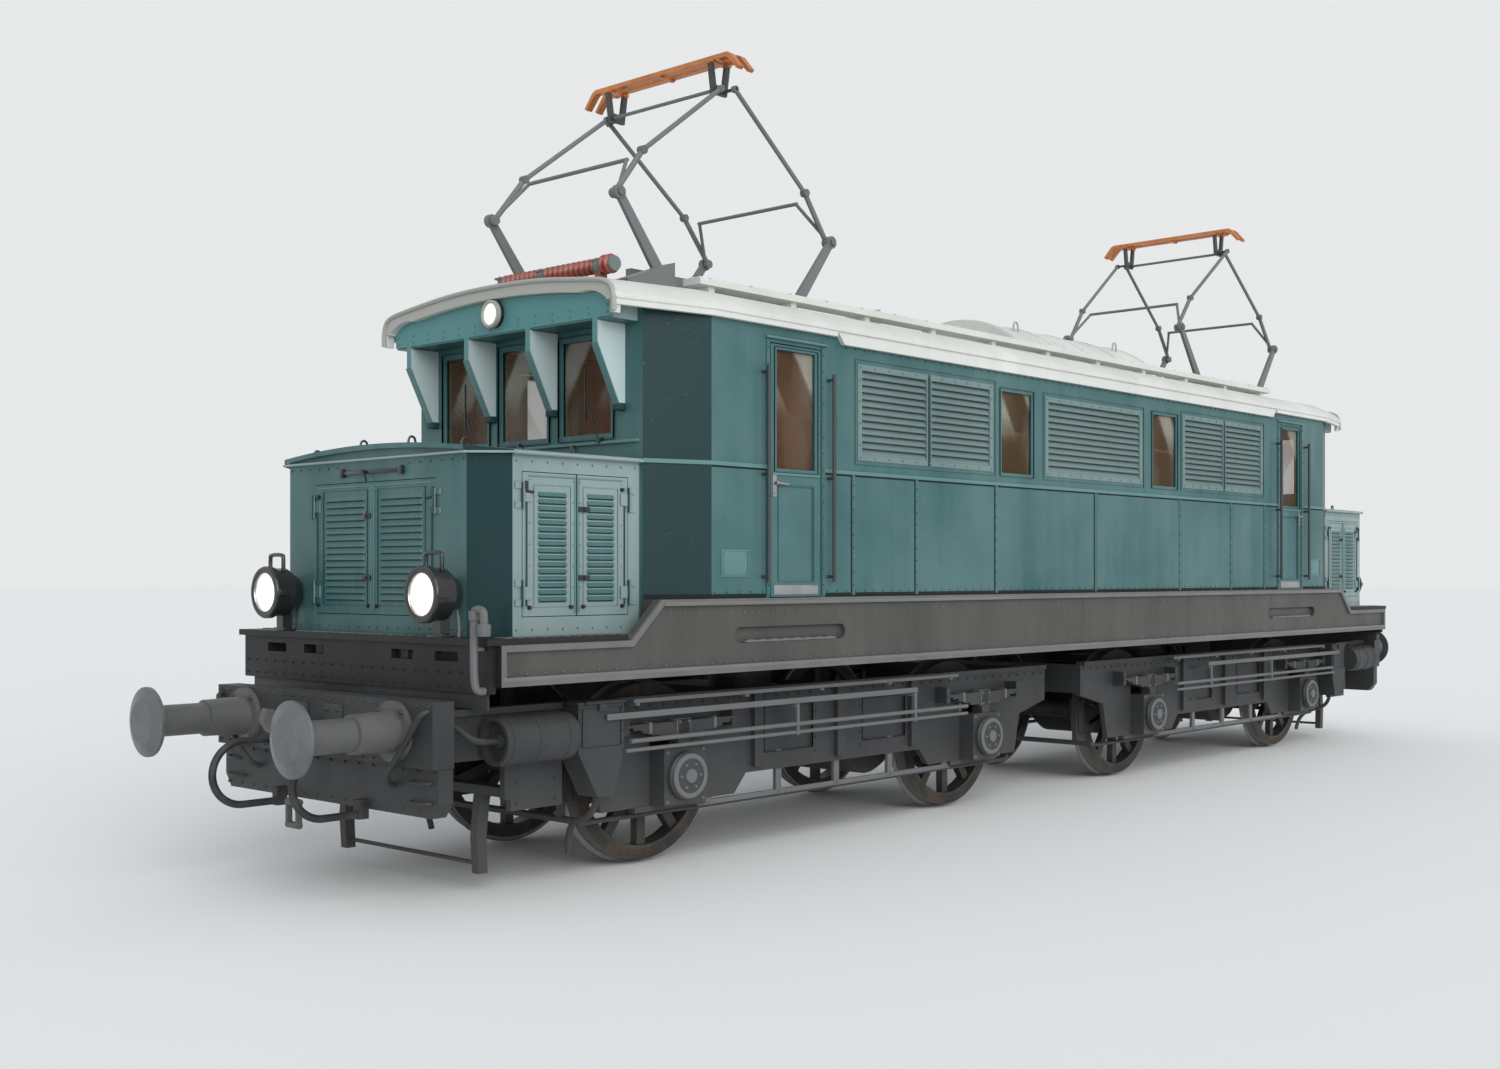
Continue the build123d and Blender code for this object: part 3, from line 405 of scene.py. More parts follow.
@dataclass(frozen=True)
class WheelFinish(Finish):
    """Black spoked wheels with bare tyres, bright on the tread and rusty at the rim."""

    name: str
    axle_x: float
    axle_z: float = 0.653
    tyre: float = 0.548

    def dress(self, shader: Shader) -> None:
        """Parts the paint from the tyre by the distance from the axle."""
        cloud = shader.noise(5.0, 4.0)
        fine = shader.noise(70.0, 2.0)
        ahead, up = shader.along(Axis.X) - self.axle_x, shader.along(Axis.Z) - self.axle_z
        reach = (ahead ** 2.0 + up ** 2.0) ** 0.5
        tyre = reach.band(self.tyre - 0.002, self.tyre + 0.002)
        tread = reach.band(0.618, 0.626)
        rust = (cloud * 0.8 + fine * 0.3).band(0.5, 0.72) * 0.55
        metal = shader.mix(tread, (0.028, 0.028, 0.025), (0.20, 0.20, 0.19))
        metal = shader.mix(rust * (1.0 - tread), metal, (0.13, 0.075, 0.045))
        black = shader.mix(cloud.band(0.4, 0.75), (0.030, 0.032, 0.034), (0.085, 0.072, 0.055))
        shader.set(Base_Color=shader.mix(tyre, black, metal), Metallic=tyre * (0.10 + tread * 0.6),
                   Roughness=0.52 - tread * 0.2 + (fine - 0.5) * 0.2, Specular_IOR_Level=0.3)
        shader.bump(fine, 0.0008, 0.4)


@dataclass(frozen=True)
class DrawGearFinish(Finish):
    """Dark grey buffer housings, hook and chain, with bare steel on the buffer heads alone."""

    name: str
    face: float = 7.575

    def dress(self, shader: Shader) -> None:
        """Parts the bare heads from the paint by the distance from the middle."""
        cloud = shader.noise(4.0, 5.0)
        fine = shader.noise(55.0, 2.0)
        head = abs(shader.along(Axis.X)).band(self.face - 0.002, self.face + 0.002)
        rust = (cloud * 0.7 + fine * 0.4).band(0.58, 0.78) * 0.4
        steel = shader.mix(cloud.band(0.3, 0.8), (0.185, 0.200, 0.206), (0.125, 0.136, 0.140))
        steel = shader.mix(rust, steel, (0.12, 0.075, 0.045))
        black = shader.mix(cloud.band(0.35, 0.8), (0.086, 0.088, 0.090), (0.120, 0.116, 0.108))
        shader.set(Base_Color=shader.mix(head, black, steel), Metallic=head * (0.85 - rust * 0.5),
                   Roughness=0.46 - head * 0.06 + (fine - 0.5) * 0.22, Specular_IOR_Level=0.35)
        shader.bump(fine, 0.0008, 0.4)


@dataclass(frozen=True)
class SillFinish(Finish):
    """Grey sill paint with a paler raised border that is a painted highlight, a black deck edge and nearly
    black end beams.
    """

    name: str
    border: float = 1.4525
    beam: float = 6.596
    deck: tuple[float, float] = (5.586, 1.609)

    def dress(self, shader: Shader) -> None:
        """Parts the painted highlight on the raised edge, the deck and the beams by where they lie, over
        streaks of grime.
        """
        cloud = shader.noise(1.3, 4.0)
        streak = shader.noise(6.0, 3.0, (1.0, 1.0, 0.1))
        speck = shader.noise(48.0, 2.0)
        tone = (cloud * 0.7 + streak * 0.4).band(0.36, 0.76)
        base = shader.mix(tone, (0.086, 0.087, 0.079), (0.056, 0.057, 0.052))
        # painted highlight: the raised border's face is paler grey
        rim = abs(shader.along(Axis.Y)).band(self.border - 0.001, self.border + 0.001)
        base = shader.mix(rim, base, shader.mix(tone, (0.160, 0.160, 0.152), (0.112, 0.112, 0.107)))
        far = abs(shader.along(Axis.X))
        edge, top = self.deck
        slab = far.band(edge, edge + 0.004) * shader.along(Axis.Z).band(top, top + 0.002)
        base = shader.mix(slab * 0.9, base, (0.012, 0.012, 0.013))
        black = shader.mix(tone, (0.018, 0.018, 0.019), (0.012, 0.012, 0.013))
        base = shader.mix(far.band(self.beam, self.beam + 0.002), base, black)
        base = shader.mix(chipped(speck, cloud) * 0.3, base, (0.13, 0.12, 0.10))
        shader.set(Base_Color=base, Roughness=0.5 + (cloud - 0.5) * 0.22 + (streak - 0.5) * 0.12,
                   Specular_IOR_Level=0.28)
        shader.orange_peel(cloud)


@dataclass(frozen=True)
class PanFinish(Finish):
    """A pantograph head: rubbed copper on the pan and its horns, dark steel on the forks."""

    name: str
    pan_z: float = 5.902
    horn_y: float = 0.742

    def dress(self, shader: Shader) -> None:
        """Parts the copper from the forks by height and by the distance from the middle."""
        cloud = shader.noise(4.0, 5.0)
        scratch = shader.noise(60.0, 2.0, (1.0, 0.1, 1.0))
        high = shader.along(Axis.Z).band(self.pan_z, self.pan_z + 0.002)
        wide = abs(shader.along(Axis.Y)).band(self.horn_y, self.horn_y + 0.002)
        pan = 1.0 - (1.0 - high) * (1.0 - wide)
        copper = shader.mix(cloud.band(0.35, 0.75), (0.64, 0.25, 0.085), (0.42, 0.15, 0.055))
        dark = shader.mix(cloud.band(0.35, 0.75), (0.055, 0.057, 0.060), (0.035, 0.036, 0.038))
        shader.set(Base_Color=shader.mix(pan, dark, copper), Metallic=pan * (0.75 - cloud * 0.3),
                   Roughness=0.44 + (scratch - 0.5) * 0.3)
        shader.bump(scratch, 0.0006, 0.3)


@dataclass(frozen=True)
class Glaze(Finish):
    """Glazed ceramic with a wet-looking coat and random darker patches of glaze and soot."""

    name: str
    colour: Colour
    deep: Colour

    def dress(self, shader: Shader) -> None:
        """Runs a darker glaze and soot over the clay colour."""
        cloud = shader.noise(7.0, 4.0)
        base = shader.mix(cloud.band(0.35, 0.7), self.colour, self.deep)
        shader.set(Base_Color=base, Roughness=0.30 + cloud * 0.22, Coat_Weight=0.3)
        shader.bump(shader.noise(40.0, 2.0), 0.0006, 0.4)


@dataclass(frozen=True)
class Pane(Finish):
    """Sheet glass with a little dust, slanting streaks of painted reflection and a brown body."""

    name: str
    colour: Colour
    alpha: float
    sheen: float = 0.16
    sheen_low: float = 3.15

    def dress(self, shader: Shader) -> None:
        """Lets light through except where dust and the slanting streaks of painted reflection hold it."""
        cloud = shader.noise(2.2, 4.0, (1.0, 1.0, 0.5))
        # painted reflection: pale slanting bands over the upper part of the pane
        slant = (shader.along(Axis.X) + shader.along(Axis.Y)) * 11.0 - shader.along(Axis.Z) * 7.0
        high = shader.along(Axis.Z).band(self.sheen_low, self.sheen_low + 0.25)
        sheen = slant.sine().band(0.1, 0.5) * high
        dust_and_reflection = cloud.band(0.45, 0.85) * 0.12 + sheen * self.sheen
        shader.set(Base_Color=shader.mix(dust_and_reflection * 3.0, self.colour, (0.62, 0.64, 0.56)),
                   Roughness=0.05 + dust_and_reflection * 0.5,
                   Alpha=self.alpha + dust_and_reflection, Specular_IOR_Level=0.25)


@dataclass(frozen=True)
class LampGlass(Finish):
    """Fluted warm lamp glass that looks as if lit by day."""

    name: str
    colour: Colour
    glow: Colour

    def dress(self, shader: Shader) -> None:
        """Adds a soft glow and a fluted relief."""
        flute = shader.node("ShaderNodeTexWave", {"bands_direction": "Y"},
                            {"Vector": shader.place, "Scale": 18.0, "Distortion": 0.4}).outputs[1]
        ridge = Signal(shader, flute)
        shader.set(Base_Color=shader.mix(ridge, self.colour, self.glow), Roughness=0.12, Coat_Weight=0.7,
                   Emission_Color=shader.mix(ridge, self.glow, self.colour), Emission_Strength=0.95)
        shader.bump(ridge, 0.003, 0.5)


@dataclass(frozen=True)
class Rubber(Finish):
    """Black rubber gone grey in worn patches."""

    name: str
    colour: Colour
    worn: Colour

    def dress(self, shader: Shader) -> None:
        """Greys the rubber in patches and gives it a fine grain."""
        cloud = shader.noise(9.0, 4.0)
        base = shader.mix(cloud.band(0.4, 0.75), self.colour, self.worn)
        shader.set(Base_Color=base, Roughness=0.62 + (cloud - 0.5) * 0.3)
        shader.bump(shader.noise(220.0, 2.0), 0.0006, 0.5)


# TEAL paints shade on the slanted cab corners and paints light on the hood sides
TEAL = Paint("teal_body_paint", (0.074, 0.158, 0.158), (0.012, 0.080, 0.083), (0.11, 0.15, 0.145), 0.40,
             coat=0.08,
             corner_shade_share=1.0, lit_side_from=5.325)
TEAL_PALE = Paint("teal_frame_paint", (0.115, 0.225, 0.225), (0.085, 0.182, 0.183), (0.14, 0.18, 0.17), 0.42)
# the brighter teal on the fascia is painted light
CAB_TEAL = replace(TEAL, name="cab_front_paint", end_from=5.50, end_colour_and_painted_light=(0.085, 0.245, 0.248))
# pale paint for the bracket cheeks, which are painted light
CHEEK_LIGHT = Paint("bracket_cheek_painted_light", (0.50, 0.60, 0.60), (0.42, 0.51, 0.51), (0.30, 0.34, 0.34), 0.42)
ROOF_WHITE = Paint("roof_paint", (0.70, 0.71, 0.67), (0.60, 0.61, 0.575), (0.38, 0.37, 0.34), 0.6, 0.5,
                   0.35, end_from=5.56)
RIM_GREY = Paint("roof_rim_grey", (0.40, 0.40, 0.37), (0.33, 0.33, 0.305), (0.34, 0.33, 0.30), 0.5)
SILL_GREY = SillFinish("sill_grey")
# dark teal as painted shade under louvre lips, round the louvres and at the bracket feet
SHADOW_TEAL = Paint("shadow_teal", (0.018, 0.048, 0.049), (0.012, 0.034, 0.035), (0.04, 0.06, 0.06), 0.6, 0.2)
# pale paint for the hood lip bead, a painted highlight
LIP_HIGHLIGHT = Paint("hood_lip_painted_highlight", (0.29, 0.37, 0.36), (0.23, 0.30, 0.295), (0.24, 0.26, 0.25), 0.45)
# grey for the sill rails, which are painted highlights, and for the deck and step treads
RAIL_GREY = Paint("sill_rail_grey", (0.17, 0.17, 0.165), (0.12, 0.12, 0.117), (0.16, 0.15, 0.13), 0.45)
FRAME_BLACK = Paint("running_gear_black", (0.048, 0.050, 0.052), (0.019, 0.020, 0.021),
                    (0.085, 0.078, 0.066), 0.5,
                    0.3, 0.35, 0.7)
PIPE_GREY = Paint("pipe_grey", (0.135, 0.138, 0.142), (0.092, 0.095, 0.098), (0.15, 0.14, 0.12), 0.45, 0.2)
ARM_GREY = Paint("pantograph_grey", (0.16, 0.17, 0.172), (0.11, 0.12, 0.122), (0.22, 0.21, 0.19), 0.45, 0.2)
LAMP_BLACK = Paint("lamp_enamel", (0.020, 0.021, 0.022), (0.013, 0.014, 0.015), (0.09, 0.085, 0.08), 0.3,
                   0.2,
                   coat=0.4)
CAB_BROWN = Paint("cab_red_brown", (0.30, 0.036, 0.014), (0.21, 0.025, 0.011), (0.20, 0.06, 0.03), 0.5, 0.2)
LINING_BROWN = Paint("window_lining_brown", (0.105, 0.015, 0.008), (0.070, 0.010, 0.006),
                     (0.09, 0.03, 0.02), 0.5, 0.2)
MACHINE_GREY = Paint("machine_grey", (0.12, 0.13, 0.13), (0.09, 0.10, 0.10))
CAP_GREEN = Paint("insulator_cap_grey_green", (0.15, 0.19, 0.175), (0.11, 0.145, 0.135))
SOOT = Paint("louvre_shadow_black", (0.012, 0.016, 0.016), (0.008, 0.011, 0.011), (0.03, 0.03, 0.028), 0.8)
RAIL_DARK = Paint("handrail_dark_paint", (0.050, 0.060, 0.061), (0.032, 0.040, 0.041), (0.10, 0.10, 0.095),
                  0.4, 0.2)
# painted light: the louvre slats are given a paler teal than the body
LOUVRE_LIT_TEAL = Paint("louvre_teal_painted_light", (0.170, 0.235, 0.233), (0.115, 0.175, 0.174), (0.16, 0.19, 0.185),
                    0.45, 0.3)
RAIL_STEEL = Steel("grab_rail_steel", (0.44, 0.45, 0.45), (0.30, 0.31, 0.31), roughness=0.3, rusting=0.1)
COPPER = Steel("contact_copper", (0.62, 0.27, 0.11), (0.36, 0.15, 0.065), (0.20, 0.13, 0.06), 0.42, 0.4,
               (1.0, 0.1, 1.0))
DRAW_GEAR = DrawGearFinish("draw_gear_finish")
AXLES = {"wheelset_1_outer": 4.9, "wheelset_1_inner": 1.4, "wheelset_2_outer": -4.9,
         "wheelset_2_inner": -1.4}
WHEELS = {name: WheelFinish(f"{name}_finish", x) for name, x in AXLES.items()}
CERAMIC = Glaze("insulator_glaze", (0.29, 0.042, 0.018), (0.15, 0.024, 0.012))
WINDOW = Pane("window_pane", (0.170, 0.100, 0.048), 0.22)
PAN = PanFinish("pantograph_pan")
LENS = LampGlass("lamp_glass", (0.86, 0.81, 0.66), (0.95, 0.90, 0.72))
HOSE = Rubber("hose_rubber", (0.016, 0.016, 0.017), (0.055, 0.056, 0.058))
SEAL = Rubber("window_seal", (0.012, 0.012, 0.012), (0.035, 0.035, 0.035))

NODE_FINISH: tuple[tuple[str, Finish], ...] = (
    ("underframe", SILL_GREY), ("side_walls", TEAL), ("side_louvres", LOUVRE_LIT_TEAL), ("cab_fronts", CAB_TEAL),
    ("roof_shell", ROOF_WHITE), ("roof_walkways", ROOF_WHITE), ("roof_hatch", ROOF_WHITE),
    ("roof_insulators", CERAMIC), ("hoods", TEAL), ("window_glass", WINDOW), ("headlamps", LAMP_BLACK),
    ("lamp_lenses", LENS), ("cab_bulkheads", CAB_BROWN), ("driver_desks", CAB_BROWN),
    ("transformer", MACHINE_GREY), ("handrails", RAIL_DARK), ("pantograph_bases", ARM_GREY),
    ("cab_door", TEAL), ("hood_door", TEAL), *WHEELS.items(),
    ("pantograph_1_head", PAN), ("pantograph_2_head", PAN), ("pantograph", ARM_GREY),
    ("draw_gear", DRAW_GEAR), ("hoses", HOSE), ("bogie", FRAME_BLACK),
)


def dress_nodes(nodes: dict[str, bpy.types.Object]) -> None:
    """Gives every carried-over CAD piece its finish.

    Args:
        nodes: the CAD objects by node name.
    """
    for name, node in nodes.items():
        finish = next(f for key, f in NODE_FINISH if key in name)
        node.data.materials.clear()
        node.data.materials.append(finish.material())
        LOG.info("%s: %s", name, finish.name)


def pointing(way: Vector) -> Matrix:
    """The turn that brings the upward axis to a direction."""
    return way.to_track_quat("Z", "Y").to_matrix().to_4x4()


def corners(geom: Iterable[object]) -> list[bmesh.types.BMVert]:
    """The corners among what a mesh operator gives back."""
    return [item for item in geom if isinstance(item, bmesh.types.BMVert)]


def sheet(outline: Sequence[Point]) -> tuple[bmesh.types.BMesh, bmesh.types.BMFace]:
    """Starts a shape as one flat face.

    Args:
        outline: the face's corners in order.

    Returns:
        The shape and its face.
    """
    part = bmesh.new()
    return part, part.faces.new([part.verts.new(spot) for spot in outline])


def thicken(part: bmesh.types.BMesh, depth: Point) -> None:
    """Gives a flat shape its thickness.

    Args:
        part: the shape.
        depth: the way and distance that it is thick.
    """
    grown = bmesh.ops.extrude_face_region(part, geom=part.faces[:])["geom"]
    bmesh.ops.translate(part, vec=depth, verts=corners(grown))
    bmesh.ops.recalc_face_normals(part, faces=part.faces)


class Workpiece:
    """A mesh under construction in one finish; sizes in metres, heights above the rail head."""

    def __init__(self, name: str, finish: Finish) -> None:
        """Starts an empty piece.

        Args:
            name: the piece's name.
            finish: what it is painted or made of.
        """
        self.name = name
        self.finish = finish
        self.mesh = bmesh.new()

    def _take(self, part: bmesh.types.BMesh) -> "Workpiece":
        """Joins a finished shape to the piece."""
        data = bpy.data.meshes.new("shape")
        part.to_mesh(data)
        part.free()
        self.mesh.from_mesh(data)
        bpy.data.meshes.remove(data)
        return self

    def block(self, low: Point, high: Point, edge: float = 0.004) -> "Workpiece":
        """Adds a squared bar or plate with eased edges.

        Args:
            low: lowest corner.
            high: highest corner.
            edge: width of the eased edges.

        Returns:
            The piece.
        """
        part = bmesh.new()
        size = Vector(high) - Vector(low)
        place = Matrix.Translation((Vector(low) + Vector(high)) / 2) @ Matrix.Diagonal((*size, 1.0))
        bmesh.ops.create_cube(part, size=1.0, matrix=place)
        bmesh.ops.bevel(part, geom=part.edges[:], offset=min(edge, min(size) * 0.3), offset_type="OFFSET",
                        segments=2, profile=0.5, affect="EDGES", material=-1)
        return self._take(part)

    def rod(self, start: Point, end: Point, radius: float, sides: int = 14, tip: float = 1.0) -> "Workpiece":
        """Adds a straight round bar.

        Args:
            start: middle of one end.
            end: middle of the other end.
            radius: radius at the start.
            sides: flats round the bar.
            tip: radius at the end as a share of the first.

        Returns:
            The piece.
        """
        run = Vector(end) - Vector(start)
        place = Matrix.Translation((Vector(start) + Vector(end)) / 2) @ pointing(run)
        bmesh.ops.create_cone(self.mesh, cap_ends=True, segments=sides, radius1=radius, radius2=radius * tip,
                              depth=run.length, matrix=place)
        return self

    def studs(self, spots: Iterable[Point], facing: Point, radius: float = 0.009) -> "Workpiece":
        """Adds bolt or rivet heads.

        Args:
            spots: where they sit on the surface.
            facing: the way they stand out.
            radius: their radius.

        Returns:
            The piece.
        """
        out = Vector(facing) * radius * 0.8
        for spot in spots:
            base = Vector(spot)
            self.rod(tuple(base - out * 0.25), tuple(base + out), radius, 8, 0.6)
        return self

    def turned(self, profile: Sequence[tuple[float, float]], centre: Point, axis: Axis,
               steps: int = 28) -> "Workpiece":
        """Adds a lathe-turned shape.

        Args:
            profile: radius and distance along the axis, from one end to the other.
            centre: where the distances start.
            axis: the way they run.
            steps: flats round the shape.

        Returns:
            The piece.
        """
        part = bmesh.new()
        spots = [part.verts.new((radius, 0.0, along)) for radius, along in profile]
        lines = [part.edges.new(pair) for pair in zip(spots, spots[1:])]
        bmesh.ops.spin(part, geom=spots + lines, cent=(0.0, 0.0, 0.0), axis=(0.0, 0.0, 1.0),
                       dvec=(0.0, 0.0, 0.0),
                       angle=2.0 * math.pi, steps=steps, use_merge=True, use_duplicate=False)
        bmesh.ops.remove_doubles(part, verts=part.verts, dist=1e-5)
        bmesh.ops.recalc_face_normals(part, faces=part.faces)
        place = Matrix.Translation(centre) @ pointing(Vector(axis.value))
        bmesh.ops.transform(part, matrix=place, verts=part.verts)
        return self._take(part)

    def plate(self, outline: Sequence[Point], depth: Point) -> "Workpiece":
        """Adds a sheet cut to an outline.

        Args:
            outline: its corners in order.
            depth: the way and distance that it is thick.

        Returns:
            The piece.
        """
        part, _ = sheet(outline)
        thicken(part, depth)
        return self._take(part)

    def surround(self, outline: Sequence[Point], width: float, depth: Point,
                 edge: float = 0.003) -> "Workpiece":
        """Adds a frame round an opening.

        Args:
            outline: the frame's outer corners in order.
            width: how wide its bars are.
            depth: the way and distance that it is thick.
            edge: width of the eased edges.

        Returns:
            The piece.
        """
        part, face = sheet(outline)
        bmesh.ops.inset_region(part, faces=[face], thickness=width, use_even_offset=True, use_boundary=True)
        bmesh.ops.delete(part, geom=[face], context="FACES_ONLY")
        thicken(part, depth)
        sharp = [e for e in part.edges if e.is_manifold and e.calc_face_angle() > 0.5]
        bmesh.ops.bevel(part, geom=sharp, offset=edge, offset_type="OFFSET", segments=1, profile=0.5,
                        affect="EDGES", material=-1)
        return self._take(part)

    def arched(self, low: Point, high: Point, radius: float, half_angle: float,
               steps: int = 16) -> "Workpiece":
        """Adds a strip bent over the roof.

        Args:
            low: lowest corner of its section at the crown.
            high: highest corner of its section at the crown.
            radius: radius of the bend at the section's low edge.
            half_angle: how far it reaches to each side, in radians.
            steps: straight lengths along the bend.

        Returns:
            The piece.
        """
        part, face = sheet(upright(low[0], high[0], low[2], high[2], 0.0))
        centre = (0.0, 0.0, low[2] - radius)
        bmesh.ops.rotate(part, cent=centre, matrix=Matrix.Rotation(-half_angle, 3, "X"), verts=part.verts)
        bmesh.ops.spin(part, geom=[face], cent=centre, axis=Axis.X.value, dvec=(0.0, 0.0, 0.0),
                       angle=2.0 * half_angle, steps=steps, use_duplicate=False)
        bmesh.ops.holes_fill(part, edges=[e for e in part.edges if e.is_boundary], sides=4)
        bmesh.ops.recalc_face_normals(part, faces=part.faces)
        return self._take(part)

    def pipe(self, points: Sequence[Point], radius: float, fine: int = 8) -> "Workpiece":
        """Adds a bent pipe or wire along a smooth line.

        Args:
            points: the line's control points.
            radius: the pipe's radius.
            fine: steps for each span.

        Returns:
            The piece.
        """
        line = bpy.data.curves.new("run", "CURVE")
        line.dimensions = "3D"
        line.bevel_depth = radius
        line.bevel_resolution = 2
        line.resolution_u = fine
        line.use_fill_caps = True
        spline = line.splines.new("NURBS")
        spline.points.add(len(points) - 1)
        for spot, point in zip(spline.points, points):
            spot.co = (*point, 1.0)
        spline.order_u = 3
        spline.use_endpoint_u = True
        holder = bpy.data.objects.new("run", line)
        data = bpy.data.meshes.new_from_object(holder)
        self.mesh.from_mesh(data)
        bpy.data.objects.remove(holder)
        bpy.data.curves.remove(line)
        bpy.data.meshes.remove(data)
        return self

    def placed(self, place: Matrix) -> "Workpiece":
        """Moves, turns or flips all that is there so far."""
        bmesh.ops.transform(self.mesh, matrix=place, verts=self.mesh.verts)
        if place.determinant() < 0.0:
            bmesh.ops.reverse_faces(self.mesh, faces=self.mesh.faces)
        return self

    def _copied(self, place: Matrix) -> "Workpiece":
        """Keeps what is there and adds a moved or flipped copy."""
        copy = bmesh.ops.duplicate(self.mesh,
                                   geom=self.mesh.verts[:] + self.mesh.edges[:] + self.mesh.faces[:])["geom"]
        bmesh.ops.transform(self.mesh, matrix=place, verts=corners(copy))
        if place.determinant() < 0.0:
            bmesh.ops.reverse_faces(self.mesh, faces=[g for g in copy if isinstance(g, bmesh.types.BMFace)])
        return self

    def both_sides(self) -> "Workpiece":
        """Adds the copy on the other long side."""
        return self._copied(FLIP)

    def both_ends(self) -> "Workpiece":
        """Adds the copy at the other end."""
        return self._copied(End.TWO.turn())

    def quarters(self) -> "Workpiece":
        """Adds the copies on both sides and at both ends."""
        return self.both_sides().both_ends()

    def ride(self, body: str) -> bpy.types.Object:
        """Finishes the piece and fixes it to a body.

        Args:
            body: the body that carries it.

        Returns:
            The finished object.
        """
        bmesh.ops.translate(self.mesh, vec=(0.0, 0.0, RAIL), verts=self.mesh.verts)
        data = bpy.data.meshes.new(self.name)
        self.mesh.to_mesh(data)
        self.mesh.free()
        data.materials.append(self.finish.material())
        data.polygons.foreach_set("use_smooth", [True] * len(data.polygons))
        data.set_sharp_from_angle(angle=SMOOTH_ANGLE)
        piece = bpy.data.objects.new(self.name, data)
        bpy.context.scene.collection.objects.link(piece)
        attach(piece, body)
        LOG.info("%s on %s: %d faces", self.name, body, len(data.polygons))
        return piece


def steps(low: float, high: float, pitch: float) -> list[float]:
    """Evenly spaced places from one value to another.

    Args:
        low: first place.
        high: last place.
        pitch: about how far apart they are.

    Returns:
        The places.
    """
    count = max(1, round((high - low) / pitch))
    return [low + (high - low) * i / count for i in range(count + 1)]


def upright(x0: float, x1: float, z0: float, z1: float, y: float) -> list[Point]:
    """Corners of a rectangle on a long side."""
    return [(x0, y, z0), (x1, y, z0), (x1, y, z1), (x0, y, z1)]


def endwise(y0: float, y1: float, z0: float, z1: float, x: float) -> list[Point]:
    """Corners of a rectangle on an end."""
    return [(x, y0, z0), (x, y1, z0), (x, y1, z1), (x, y0, z1)]


def eye(spot: Point, foot: float, width: float, height: float) -> list[Point]:
    """The line of a lifting eye that stands on a surface.

    Args:
        spot: the middle of its foot.
        foot: half the distance between its feet.
        width: half its width at the top.
        height: how far its control points stand up.

    Returns:
        The line's control points.
    """
    x, y, z = spot
    return [(x - foot, y, z), (x - width, y, z + height), (x + width, y, z + height), (x + foot, y, z)]


